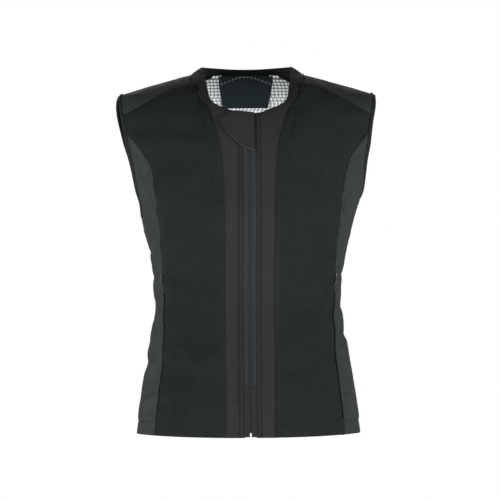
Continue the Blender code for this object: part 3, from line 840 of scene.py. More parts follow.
class Nodes:
    """A node tree, of a material or of geometry, that grows by short calls."""

    def __init__(self, tree: bpy.types.NodeTree) -> None:
        """Starts from the tree's own nodes."""
        self.tree = tree

    def add(self, kind: str, settings: dict | None = None, sockets: dict | None = None) -> bpy.types.Node:
        """Adds a node.

        Args:
            kind: The node's type.
            settings: Its properties, set before its sockets.
            sockets: Values or links of its inputs, by name or number.

        Returns:
            The node.
        """
        node = self.tree.nodes.new(kind)
        for name, value in (settings or {}).items():
            setattr(node, name, value)
        for name, value in (sockets or {}).items():
            self.feed(node.inputs[name], value)
        return node

    def feed(self, socket: bpy.types.NodeSocket, value: object) -> None:
        """Links a term, a node or an output to an input, or sets the input's own value."""
        if isinstance(value, Term):
            value = value.socket
        elif isinstance(value, bpy.types.Node):
            value = value.outputs[0]
        if isinstance(value, bpy.types.NodeSocket):
            self.tree.links.new(value, socket)
        else:
            socket.default_value = value

    def term(
        self, kind: str, settings: dict | None = None, sockets: dict | None = None, output: int | str = 0,
    ) -> Term:
        """Adds a node and wraps one of its outputs."""
        return Term(self, self.add(kind, settings, sockets).outputs[output])

    def math(self, operation: str, *values: Term | float) -> Term:
        """Adds a Math node."""
        return self.term("ShaderNodeMath", {"operation": operation}, dict(enumerate(values)))


@dataclass(frozen=True)
class Finish:
    """A surface: its colour, gloss and how much it varies. Each kind adds its own pattern."""

    name: str
    colour: Colour
    roughness: float = 0.85
    metallic: float = 0.0
    mottle: float = 0.12
    relief: float = 0.0
    # Whether the colour takes the per-point painted shade and painted highlights
    shaded: bool = False
    # Emission in the cloth's own colour: a painted glow that lights a cloth where no lamp does
    glow: float = 0.0
    cloud_scale: ClassVar[float] = 14.0
    lint_scale: ClassVar[float] = 900.0
    cloth_shine: ClassVar[float] = 0.12
    metal_shine: ClassVar[float] = 0.5

    def pattern(self, nodes: Nodes, u: Term, v: Term) -> tuple[Term | None, Term | None]:
        """The finish's own pattern.

        Args:
            nodes: The material's nodes.
            u: Distance across the cloth in metres.
            v: Distance up the cloth in metres.

        Returns:
            A brightness gain or None, and a relief height from 0 to 1 or None.
        """
        return None, None

    def material(self) -> bpy.types.Material:
        """The finish as a material, made once."""
        made = bpy.data.materials.get(self.name)
        if made:
            return made
        made = bpy.data.materials.new(self.name)
        made.use_nodes = True
        nodes = Nodes(made.node_tree)
        sockets = made.node_tree.nodes["Principled BSDF"].inputs
        sockets["Metallic"].default_value = self.metallic
        # Emission is painted glow, not a lamp
        sockets["Emission Color"].default_value = (*self.colour, 1.0)
        sockets["Emission Strength"].default_value = self.glow
        shine = self.metal_shine if self.metallic else self.cloth_shine
        sockets["Specular IOR Level"].default_value = shine
        flat = nodes.add("ShaderNodeUVMap", {"uv_map": "cloth"})
        split = nodes.add("ShaderNodeSeparateXYZ", None, {0: flat}).outputs
        gain, relief = self.pattern(nodes, Term(nodes, split[0]), Term(nodes, split[1]))
        where = nodes.add("ShaderNodeTexCoord").outputs["Object"]
        cloud, lint = (
            nodes.term("ShaderNodeTexNoise", None, {"Vector": where, "Scale": scale, "Detail": detail})
            for scale, detail in ((self.cloud_scale, 5.0), (self.lint_scale, 2.0))
        )
        shade = 1.0 + (cloud - 0.5) * (2 * self.mottle) + (lint - 0.5) * (2 * self.mottle)
        if gain is not None:
            shade = shade * gain
        # The per-point attribute is mostly painted shade and painted highlights at seams, folds and
        # edges, with some cloth tone
        if self.shaded:
            shade = shade * nodes.term("ShaderNodeAttribute", {"attribute_name": "shade"}, None, "Fac")
        scale = nodes.add("ShaderNodeCombineXYZ", None, {0: shade, 1: shade, 2: shade})
        tinted = nodes.add("ShaderNodeVectorMath", {"operation": "MULTIPLY"}, {0: scale, 1: self.colour})
        nodes.feed(sockets["Base Color"], tinted)
        nodes.feed(sockets["Roughness"], (self.roughness + (lint - 0.5) * 0.2).least(1.0))
        if relief is not None:
            heights = {"Height": relief, "Distance": self.relief, "Strength": 1.0}
            nodes.feed(sockets["Normal"], nodes.add("ShaderNodeBump", None, heights))
        return made


@dataclass(frozen=True)
class DiamondMesh(Finish):
    """An open warp knit with a staggered grid of small holes."""

    across: float = 0.0051
    up: float = 0.0033
    # Gain of the holes: their darkness is painted shade, the shade that falls into them
    hole: float = 0.02
    bright: float = 3.3
    thread_edge: tuple[float, float] = (0.16, 0.44)

    def pattern(self, nodes: Nodes, u: Term, v: Term) -> tuple[Term | None, Term | None]:
        """Threads run on both diagonals; the holes between are painted dark as the shade inside them."""
        first = abs((u * (math.pi / self.across) + v * (math.pi / self.up)).sine())
        second = abs((u * (math.pi / self.across) - v * (math.pi / self.up)).sine())
        thread = 1.0 - first.least(second).step(*self.thread_edge)
        return self.hole + thread * (self.bright - self.hole), thread


@dataclass(frozen=True)
class Weave(Finish):
    """A plain weave of crossing threads."""

    across: float = 0.0009
    up: float = 0.0009
    depth: float = 0.18

    def pattern(self, nodes: Nodes, u: Term, v: Term) -> tuple[Term | None, Term | None]:
        """Threads pass over and under each other."""
        over = (u * (2 * math.pi / self.across)).sine() * (v * (2 * math.pi / self.up)).sine()
        return 1.0 + over * self.depth, over * 0.5 + 0.5


@dataclass(frozen=True)
class Twill(Finish):
    """A stretch cloth with fine slanting ribs."""

    pitch: float = 0.0011
    depth: float = 0.14

    def pattern(self, nodes: Nodes, u: Term, v: Term) -> tuple[Term | None, Term | None]:
        """Ribs rise across the cloth."""
        rib = ((u + v * 0.6) * (2 * math.pi / self.pitch)).sine()
        cross = ((v - u * 0.3) * (2 * math.pi / (self.pitch * 1.7))).sine()
        both = rib * 0.7 + cross * 0.3
        return 1.0 + both * self.depth, both * 0.5 + 0.5


@dataclass(frozen=True)
class Rib(Finish):
    """A tape with fine ribs across its length."""

    pitch: float = 0.0012
    depth: float = 0.20

    def pattern(self, nodes: Nodes, u: Term, v: Term) -> tuple[Term | None, Term | None]:
        """Ribs repeat along the tape."""
        rib = (v * (2 * math.pi / self.pitch)).sine()
        return 1.0 + rib * self.depth, rib * 0.5 + 0.5


MESH = DiamondMesh(
    "vest diamond mesh", (0.0135, 0.0163, 0.0168), roughness=0.9, relief=0.0007, shaded=True
)
STRETCH = Twill("vest stretch cloth", (0.0285, 0.0315, 0.0320), relief=0.00012, shaded=True)
YOKE = Weave(
    "vest yoke cloth",
    (0.0205, 0.0235, 0.0240),
    roughness=0.8,
    mottle=0.10,
    relief=0.0002,
    shaded=True,
    across=0.0018,
)
PLACKET = Weave("vest placket cloth", (0.0225, 0.0220, 0.0222), relief=0.00012, shaded=True)
BAND = Rib("vest binding tape", (0.0135, 0.0155, 0.0155), roughness=0.8, mottle=0.10, relief=0.00015)
TAPE = Rib(
    "vest zip tape", (0.0190, 0.0215, 0.0240), roughness=0.55, mottle=0.08, relief=0.0002, shaded=True
)
# The lining's small glow is painted light that brightens it in the shade inside the back
LINING = Weave(
    "vest lining knit",
    (0.26, 0.28, 0.29),
    roughness=0.9,
    mottle=0.05,
    relief=0.0003,
    glow=0.05,
    across=0.0012,
    up=0.0012,
)
# The pillows' glow is painted light that brightens them in the shade inside the back
PILLOW = Finish("vest lining pillows", (0.88, 0.90, 0.91), mottle=0.16, glow=0.22)
FACING = Weave(
    "vest neck patch", (0.017, 0.027, 0.031), roughness=0.6, mottle=0.10, relief=0.0001, across=0.0007
)
THREAD = Finish("vest dark thread", (0.012, 0.013, 0.014), roughness=0.6, mottle=0.05)
# A grey thread lighter than the cloth; on the yoke its row is a painted highlight along the seam
GREY_THREAD_AND_PAINTED_HIGHLIGHT = Finish("vest grey thread", (0.055, 0.060, 0.060), roughness=0.6, mottle=0.05)
PALE_THREAD = Finish("vest pale thread", (0.62, 0.63, 0.60), roughness=0.7, mottle=0.05)
METAL = Finish("vest pull metal", (0.24, 0.25, 0.26), roughness=0.3, metallic=1.0, mottle=0.05)


@dataclass(frozen=True)
class Stripe:
    """A soft line along a cloth: its strength, its place and its half width."""

    strength: float
    place: float
    width: float


def striped(distance: Array, *stripes: Stripe) -> Array:
    """The sum of soft lines at distances."""
    return sum(stripe.strength * bell(distance - stripe.place, stripe.width) for stripe in stripes)


@dataclass
class Grid:
    """Angles, heights and points of a cloth, by column and row."""

    form: BodyForm
    angle: Array
    height: Array

    @classmethod
    def laid(
        cls, form: BodyForm, patch: Patch, columns: int, rows: int, sign: int = 1,
        inset: tuple[float, float] = (0.0, 0.0),
    ) -> Grid:
        """Lays a patch on the body.

        Args:
            form: The body.
            patch: The cut piece.
            columns: Cells across.
            rows: Cells up.
            sign: -1 mirrors the piece to the wearer's right.
            inset: Shares left free at both ends, across and up.

        Returns:
            The grid.
        """
        across, up = np.meshgrid(
            np.linspace(inset[0], 1 - inset[0], columns + 1),
            np.linspace(inset[1], 1 - inset[1], rows + 1), indexing="ij",
        )
        angle, height = patch(across, up)
        return cls(
            form, sign * np.broadcast_to(angle, across.shape), np.broadcast_to(height, across.shape)
        )

    @cached_property
    def flat(self) -> Array:
        """Points of the smooth body under the grid."""
        return self.form.plain(self.angle, self.height)

    @cached_property
    def runs(self) -> tuple[Array, Array]:
        """Distances from the first column and from the first row."""
        wide = np.linalg.norm(np.diff(self.flat, axis=0), axis=-1)
        tall = np.linalg.norm(np.diff(self.flat, axis=1), axis=-1)
        across = np.concatenate([np.zeros((1, wide.shape[1])), np.cumsum(wide, axis=0)], axis=0)
        up = np.concatenate([np.zeros((tall.shape[0], 1)), np.cumsum(tall, axis=1)], axis=1)
        return across, up

    @cached_property
    def edges(self) -> tuple[Array, Array, Array, Array]:
        """Distances from the first and last column and from the first and last row."""
        across, up = self.runs
        return across, across[-1:] - across, up, up[:, -1:] - up

    def uv(self) -> Array:
        """Distances across and up in metres, with the grain upright from the first column."""
        across, up = self.runs
        start = np.abs(self.flat[:1, :, 0])
        foot = self.height[:, :1] * self.form.length
        return np.stack([across + start, up + foot], axis=-1)

    def roll(self, depths: Edges, width: float) -> Array:
        """How far the edges turn in.

        Args:
            depths: At each edge.
            width: Distance over which each turn fades.

        Returns:
            A lift, below zero near the edges.
        """
        total = np.zeros_like(self.angle)
        for depth, distance in zip(depths, self.edges):
            total = np.minimum(total, -depth * bell(distance, width))
        return total

    def pucker(self, heights: Edges, pitch: float, reach: float, phase: float) -> Array:
        """Small gathers that run square to the seams.

        Args:
            heights: At each edge.
            pitch: Usual distance between gathers.
            reach: Distance over which they fade.
            phase: Where their pattern starts.

        Returns:
            A lift.
        """
        across, up = self.runs
        total = np.zeros_like(across)
        edges = zip(heights, self.edges, (up, up, across, across))
        for index, (height, distance, run) in enumerate(edges):
            wave = np.sin(run * 2 * math.pi / pitch + phase + index)
            wave += 0.6 * np.sin(run * 2 * math.pi / (pitch * 1.63) + 2.1 * phase + index)
            total += height * wave * np.exp(-distance / reach)
        return total

    def waves(self, height: float, size: float, seed: int) -> Array:
        """Soft wrinkles in all directions, which end near the edges.

        Args:
            height: Of a usual wrinkle.
            size: Distance between wrinkles.
            seed: Starts their pattern.

        Returns:
            A lift.
        """
        chance = np.random.default_rng(seed)
        across, up = self.runs
        total = np.zeros_like(across)
        for _ in range(9):
            turn = chance.uniform(0, math.pi)
            length = size * chance.uniform(0.7, 1.6)
            phase = chance.uniform(0, 2 * math.pi)
            bend = 0.25 * size * np.sin(up * 2 * math.pi / (size * 3.1) + 3 * phase)
            run = (across + bend) * math.cos(turn) + up * math.sin(turn)
            total += chance.uniform(0.3, 1.0) * np.sin(run * 2 * math.pi / length + phase)
        calm_edge = 0.008
        return total * height / 2.0 * (1.0 - bell(np.min(self.edges, axis=0), calm_edge))

    def points(self, lift: Array | float = 0.0) -> Array:
        """Points of the cloth's outer face at a lift."""
        return self.form.cloth(self.angle, self.height, lift)


def spread(points: Array, closed: tuple[bool, bool], amount: float = 0.00035) -> Array:
    """Moves open edges outwards, so that cloths sewn together leave no slit."""
    moved = points.copy()
    for axis in (0, 1):
        if closed[axis]:
            continue
        view = np.moveaxis(moved, axis, 0)
        for edge, near in ((0, 1), (-1, -2)):
            step = view[edge] - view[near]
            view[edge] += amount * step / np.maximum(np.linalg.norm(step, axis=-1, keepdims=True), 1e-9)
    return moved


def linked(name: str, data: bpy.types.ID) -> bpy.types.Object:
    """An object in the scene that shows the data."""
    made = bpy.data.objects.new(name, data)
    bpy.context.scene.collection.objects.link(made)
    return made


def mesh_object(
    name: str, points: Array, uv: Array, finish: Finish, closed: tuple[bool, bool] = (False, False),
    shade: Array | None = None,
) -> bpy.types.Object:
    """Makes an object from a grid of points.

    Args:
        name: The piece's name. The faces of one on the wearer's right are turned over.
        points: Points by column and row.
        uv: Distances across and up in metres, by column and row.
        finish: Its surface.
        closed: Whether columns and rows join round.
        shade: How light the cloth is at each point, mostly painted shade and painted highlights at seams,
            folds and edges, with some cloth tone; 1 where nothing is given.

    Returns:
        The object, linked to the scene.
    """
    points = spread(points, closed)
    columns, rows = points.shape[:2]
    wide = columns if closed[0] else columns - 1
    tall = rows if closed[1] else rows - 1
    i, j = (part.ravel() for part in np.meshgrid(np.arange(wide), np.arange(tall), indexing="ij"))
    corners = [(i, j), (i + 1, j), (i + 1, j + 1), (i, j + 1)]
    if f"_{Side.RIGHT.word}_" in name:
        corners = corners[::-1]
    faces = np.stack([(a % columns) * rows + b % rows for a, b in corners], axis=-1)
    data = bpy.data.meshes.new(name)
    data.from_pydata(points.reshape(-1, 3).tolist(), [], faces.tolist())
    longer = np.concatenate([uv, 2 * uv[-1:] - uv[-2:-1]], axis=0)
    longer = np.concatenate([longer, 2 * longer[:, -1:] - longer[:, -2:-1]], axis=1)
    layer = data.uv_layers.new(name="cloth")
    found = np.stack([longer[a, b] for a, b in corners], axis=1)
    layer.data.foreach_set("uv", found.astype(np.float32).ravel())
    tone_and_painted_light_layer = data.attributes.new("shade", "FLOAT", "POINT")
    tone_and_painted_light_values = np.ones(columns * rows) if shade is None else shade.ravel()
    tone_and_painted_light_layer.data.foreach_set("value", tone_and_painted_light_values.astype(np.float32))
    data.polygons.foreach_set("use_smooth", np.ones(len(faces), bool))
    data.materials.append(finish.material())
    data.update()
    return linked(name, data)


def thicken(thing: bpy.types.Object, thickness: float) -> None:
    """Gives a cloth its wall, inwards from its outer face."""
    wall = thing.modifiers.new("Wall", "SOLIDIFY")
    wall.thickness = thickness
    wall.offset = -1.0


def soften(thing: bpy.types.Object) -> None:
    """Rounds a piece by subdivision."""
    smooth = thing.modifiers.new("Smooth", "SUBSURF")
    smooth.levels = 1
    smooth.render_levels = 1
    smooth.boundary_smooth = "PRESERVE_CORNERS"


@dataclass(frozen=True)
class Settling:
    """How a cloth settles: its spare length, the pressure under it and how far it may move."""

    slack: float
    press: float
    inward: float
    outward: float
    frames: ClassVar[int] = 20
    cloth: ClassVar[dict[str, object]] = {
        "vertex_group_mass": "sewn",
        "use_pressure": True,
        "quality": 6,
        "mass": 0.25,
        "tension_stiffness": 12.0,
        "compression_stiffness": 12.0,
        "bending_stiffness": 0.6,
        "air_damping": 3.0,
    }

    def lift(self, grid: Grid, lift: Array) -> Array:
        """Lets a cloth settle by simulation and reads how far it moved along its normals.

        Args:
            grid: The cloth, sewn down at all its edges.
            lift: Its lift before settling.

        Returns:
            The lift after settling.
        """
        start = grid.points(lift)
        thing = mesh_object("settling cloth", start, grid.uv(), THREAD)
        edge = np.ones(start.shape[:2], bool)
        edge[1:-1, 1:-1] = False
        group = thing.vertex_groups.new(name="sewn")
        group.add(np.flatnonzero(edge.ravel()).tolist(), 1.0, "REPLACE")
        cloth = thing.modifiers.new("Cloth", "CLOTH")
        for word, value in self.cloth.items():
            setattr(cloth.settings, word, value)
        cloth.settings.shrink_min = -self.slack
        cloth.settings.shrink_max = -self.slack
        cloth.settings.uniform_pressure_force = self.press
        cloth.settings.effector_weights.gravity = 0.0
        cloth.collision_settings.use_collision = False
        cloth.point_cache.frame_start = 1
        cloth.point_cache.frame_end = self.frames
        for frame in range(1, self.frames + 1):
            bpy.context.scene.frame_set(frame)
        settled = thing.evaluated_get(bpy.context.evaluated_depsgraph_get())
        found = np.empty(start.size)
        settled.data.vertices.foreach_get("co", found)
        bpy.context.scene.frame_set(1)
        bpy.data.objects.remove(thing, do_unlink=True)
        moved = found.reshape(start.shape) - start
        rise = np.sum(moved * grid.form.outward(grid.angle, grid.height), axis=-1)
        return lift + np.clip(rise, -self.inward, self.outward)


@dataclass(frozen=True)
class Wear:
    """How a sewn cloth lies: turned edges, gathers at its seams, wrinkles and settling."""

    turned: Edges
    turn_width: float
    gathers: Edges = (0.0, 0.0, 0.0, 0.0)
    gather_pitch: float = 0.014
    gather_reach: float = 0.012
    gather_phase: float = 0.0
    wrinkle: float = 0.0
    wrinkle_size: float = 0.060
    wrinkle_seed: int = 0
    settling: Settling | None = None

    def lift(self, grid: Grid, side: int = 0, calm: Array | float = 1.0) -> Array:
        """How far the cloth stands off the body.

        Args:
            grid: The cloth.
            side: -1 or 1 for one of a pair, so that the two differ.
            calm: How much of the wrinkles is left at each point.

        Returns:
            A lift.
        """
        lift = grid.roll(self.turned, self.turn_width)
        phase = self.gather_phase + side
        lift = lift + grid.pucker(self.gathers, self.gather_pitch, self.gather_reach, phase)
        if self.wrinkle:
            lift = lift + grid.waves(self.wrinkle, self.wrinkle_size, self.wrinkle_seed + side) * calm
        return self.settling.lift(grid, lift) if self.settling else lift


def shown(thing: bpy.types.Object, slot: str, node: str = "") -> bpy.types.Object:
    """Makes a piece ride on the vest and stand for its node, whose solid it hides."""
    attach(thing, "root")
    if node:
        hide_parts(node)
    LOG.info("%s", thing.name)
    return thing


class Pattern:
    """A geometry tree that repeats a small rounded shape, run once into a plain mesh."""

    title = ""
    numbers: tuple[str, ...] = ()

    def __init__(self) -> None:
        """Builds the tree once."""
        self.tree = bpy.data.node_groups.new(self.title, "GeometryNodeTree")
        face = self.tree.interface
        face.new_socket("Source", in_out="INPUT", socket_type="NodeSocketGeometry")
        for name in self.numbers:
            face.new_socket(name, in_out="INPUT", socket_type="NodeSocketFloat")
        face.new_socket("Cover", in_out="INPUT", socket_type="NodeSocketMaterial")
        face.new_socket("Result", in_out="OUTPUT", socket_type="NodeSocketGeometry")
        nodes = Nodes(self.tree)
        given = nodes.add("NodeGroupInput").outputs
        places, shape, direction, length = self.parts(nodes, given)
        radius = given["Radius"]
        spots = {
            "Points": places,
            "Instance": nodes.add("GeometryNodeSetShadeSmooth", None, {0: shape}),
            "Rotation": nodes.add(
                "FunctionNodeAlignRotationToVector", {"axis": "Z"}, {"Vector": direction}
            ),
            "Scale": nodes.add("ShaderNodeCombineXYZ", None, {0: radius, 1: radius, 2: length}),
        }
        laid = nodes.add("GeometryNodeInstanceOnPoints", None, spots)
        real = nodes.add("GeometryNodeRealizeInstances", None, {0: laid})
        cover = {"Geometry": real, "Material": given["Cover"]}
        nodes.add("NodeGroupOutput", None, {0: nodes.add("GeometryNodeSetMaterial", None, cover)})

    def parts(self, nodes: Nodes, given: bpy.types.NodeOutputs) -> tuple:
        """Where the shapes stand, one shape, its direction and half its length."""
        raise NotImplementedError

    def run(self, data: bpy.types.Mesh, sizes: dict[str, float], finish: Finish) -> bpy.types.Object:
        """Runs the tree on a mesh.

        Args:
            data: The mesh that the tree starts from, with the piece's name.
            sizes: Its numbers by name.
            finish: The material of the result.

        Returns:
            The finished object, with no modifier left.
        """
        name = data.name
        maker = linked(name, data)
        step = maker.modifiers.new("Pattern", "NODES")
        step.node_group = self.tree
        inputs = [item for item in self.tree.interface.items_tree if item.in_out == "INPUT"]
        ids = {item.name: item.identifier for item in inputs}
        for word, value in (sizes | {"Cover": finish.material()}).items():
            step[ids[word]] = value
        graph = bpy.context.evaluated_depsgraph_get()
        made = bpy.data.meshes.new_from_object(maker.evaluated_get(graph))
        maker.modifiers.remove(step)
        maker.data = made
        made.name = name
        made.materials.clear()
        made.materials.append(finish.material())
        return maker


class Stitches(Pattern):
    """A row of stitches along a path."""

    title = "Stitch row"
    numbers = ("Pitch", "Length", "Radius")

    def parts(self, nodes: Nodes, given: bpy.types.NodeOutputs) -> tuple:
        """Beads at even distances, each turned along its row."""
        curve = nodes.add("GeometryNodeMeshToCurve", None, {0: given["Source"]})
        spaced = nodes.add(
            "GeometryNodeResampleCurve", {"mode": "LENGTH"}, {"Curve": curve, "Length": given["Pitch"]}
        )
        bead = nodes.add("GeometryNodeMeshIcoSphere", None, {"Radius": 1.0, "Subdivisions": 1})
        return spaced, bead, nodes.add("GeometryNodeInputTangent"), Term(nodes, given["Length"]) * 0.5

    def sew(
        self, name: str, paths: Sequence[Array], finish: Finish, pitch: float = 0.0034,
        length: float = 0.0024, radius: float = 0.00030,
    ) -> bpy.types.Object:
        """Sews rows of stitches.

        Args:
            name: The piece's name.
            paths: Points along each row.
            finish: The thread.
            pitch: From one stitch to the next.
            length: Length of a stitch.
            radius: Half its thickness.

        Returns:
            The stitches as a plain mesh.
        """
        points: list[list[float]] = []
        edges: list[tuple[int, int]] = []
        for path in paths:
            first = len(points)
            points += path.reshape(-1, 3).tolist()
            edges += [(k, k + 1) for k in range(first, len(points) - 1)]
        data = bpy.data.meshes.new(name)
        data.from_pydata(points, edges, [])
        return self.run(data, {"Pitch": pitch, "Length": length, "Radius": radius}, finish)


class Pillows(Pattern):
    """Small padded cells in staggered rows."""

    title = "Pillow rows"
    numbers = ("Radius", "Height")

    def parts(self, nodes: Nodes, given: bpy.types.NodeOutputs) -> tuple:
        """Flat beads of six sides that swell the way each place faces."""
        bead = nodes.add("GeometryNodeMeshUVSphere", None, {"Segments": 6, "Rings": 4, "Radius": 1.0})
        facing = nodes.add(
            "GeometryNodeInputNamedAttribute", {"data_type": "FLOAT_VECTOR"}, {"Name": "facing"}
        )
        return given["Source"], bead, facing, given["Height"]

    def fill(
        self, name: str, places: Array, facing: Array, radius: float, height: float, finish: Finish
    ) -> bpy.types.Object:
        """Lays a pillow at each place.

        Args:
            name: The piece's name.
            places: Middles of the pillows.
            facing: Which way each one swells.
            radius: Half a pillow's width.
            height: How far it swells.
            finish: Its knit.

        Returns:
            The pillows as a plain mesh.
        """
        data = bpy.data.meshes.new(name)
        data.from_pydata(places.tolist(), [], [])
        layer = data.attributes.new("facing", "FLOAT_VECTOR", "POINT")
        layer.data.foreach_set("vector", facing.astype(np.float32).ravel())
        return self.run(data, {"Radius": radius, "Height": height}, finish)


@dataclass
class Workshop:
    """What every sub-assembly is built with."""

    form: BodyForm = field(default_factory=BodyForm)
    lines: SeamLines = field(default_factory=SeamLines)

    def __post_init__(self) -> None:
        """Makes the patches and the two geometry trees."""
        self.panels = Panels(self.lines)
        self.stitches = Stitches()
        self.pillows = Pillows()

    def cloth(
        self, node: str, slot: str, grid: Grid, lift: Array | float, finish: Finish, wall: float,
        shade: Array | None = None, soft: bool = True,
    ) -> bpy.types.Object:
        """Makes the cloth that stands for a node.

        Args:
            node: The node's name.
            slot: Its finish slot; not used.
            grid: Where the cloth lies.
            lift: How far its outer face stands off the body.
            finish: Its surface.
            wall: Its thickness.
            shade: How light it is at each point, mostly painted shade and painted highlights, with some
                cloth tone.
            soft: Whether it is rounded by subdivision.

        Returns:
            The dressed piece.
        """
        thing = mesh_object(f"{node}_cloth", grid.points(lift), grid.uv(), finish, shade=shade)
        if soft:
            soften(thing)
        thicken(thing, wall)
        return shown(thing, slot, node)

    def band(
        self, seam: Callable[[Array, Array], Chart], stations: Array, thickness: float, sign: int = 1,
        sink: Array | float = 0.0,
    ) -> tuple[Array, Array]:
        """A bound edge, rounded all round.

        Args:
            seam: Angle and height by part, 0 the edge and 1 the seam, and by station.
            stations: Where its sections stand.
            thickness: Of the folded band.
            sign: -1 mirrors it to the wearer's right.
            sink: How much each station lies deeper.

        Returns:
            Its points and their distances in metres, by station and round the section.
        """
        crown = 0.0004
        points = 16
        square = 0.55
        girth_step = 0.0012
        turn = np.arange(points) / points * 2 * math.pi
        cosine, sine = np.cos(turn), np.sin(turn)
        part = 0.5 + 0.5 * np.sign(cosine) * np.abs(cosine) ** square
        lift = -thickness / 2 + thickness / 2 * np.sign(sine) * np.abs(sine) ** square
        lift = lift + crown * np.sin(math.pi * part) * (sine > 0)
        where, across = np.meshgrid(stations, part, indexing="ij")
        angle, height = seam(across, where)
        deep = np.broadcast_to(sink, stations.shape)[:, None]
        found = self.form.cloth(sign * angle, height, lift - deep)
        steps = np.linalg.norm(np.roll(found, -1, axis=0) - found, axis=-1)[:, :1]
        run = np.cumsum(steps, axis=0) - steps
        girth = np.broadcast_to(np.arange(points) * girth_step, (len(stations), points))
        return found, np.stack([girth, np.broadcast_to(run, girth.shape)], axis=-1)


@dataclass
class FrontPanels:
    """The two padded mesh fronts."""

    shop: Workshop
    thickness: float = 0.0045
    columns: int = 38
    rows: int = 124
    wear: Wear = Wear(
        turned=(0.0012, 0.0012, 0.0006, 0.0012), turn_width=0.004,
        gathers=(0.00018, 0.00030, 0.0, 0.00020), gather_pitch=0.013, gather_phase=1.0, wrinkle=0.0009,
        wrinkle_seed=11, settling=Settling(slack=0.012, press=0.5, inward=0.0012, outward=0.0024),
    )
    # Depths of the painted shade along each seam and of the painted highlight beside the first and last
    # column
    seam_tone: Edges = (0.35, 0.30, 0.3, 0.45)
    edge_tone: Edges = (1.0, 0.6, 0.0, 0.0)

    def build(self) -> None:
        """Builds and dresses both."""
        for side in Side:
            patch = self.shop.panels.front(side)
            grid = Grid.laid(self.shop.form, patch, self.columns, self.rows, side.value)
            lift = self.wear.lift(grid, side.value)
            # Painted shade along the seams and a painted highlight beside the placket's seam and the side
            # seam
            shade = 1.0 + grid.roll(self.seam_tone, 0.0014) - 0.25 * grid.roll(self.edge_tone, 0.006)
            name = f"front_mesh_{side.word}"
            thing = self.shop.cloth(name, "mesh", grid, lift, MESH, self.thickness, shade)


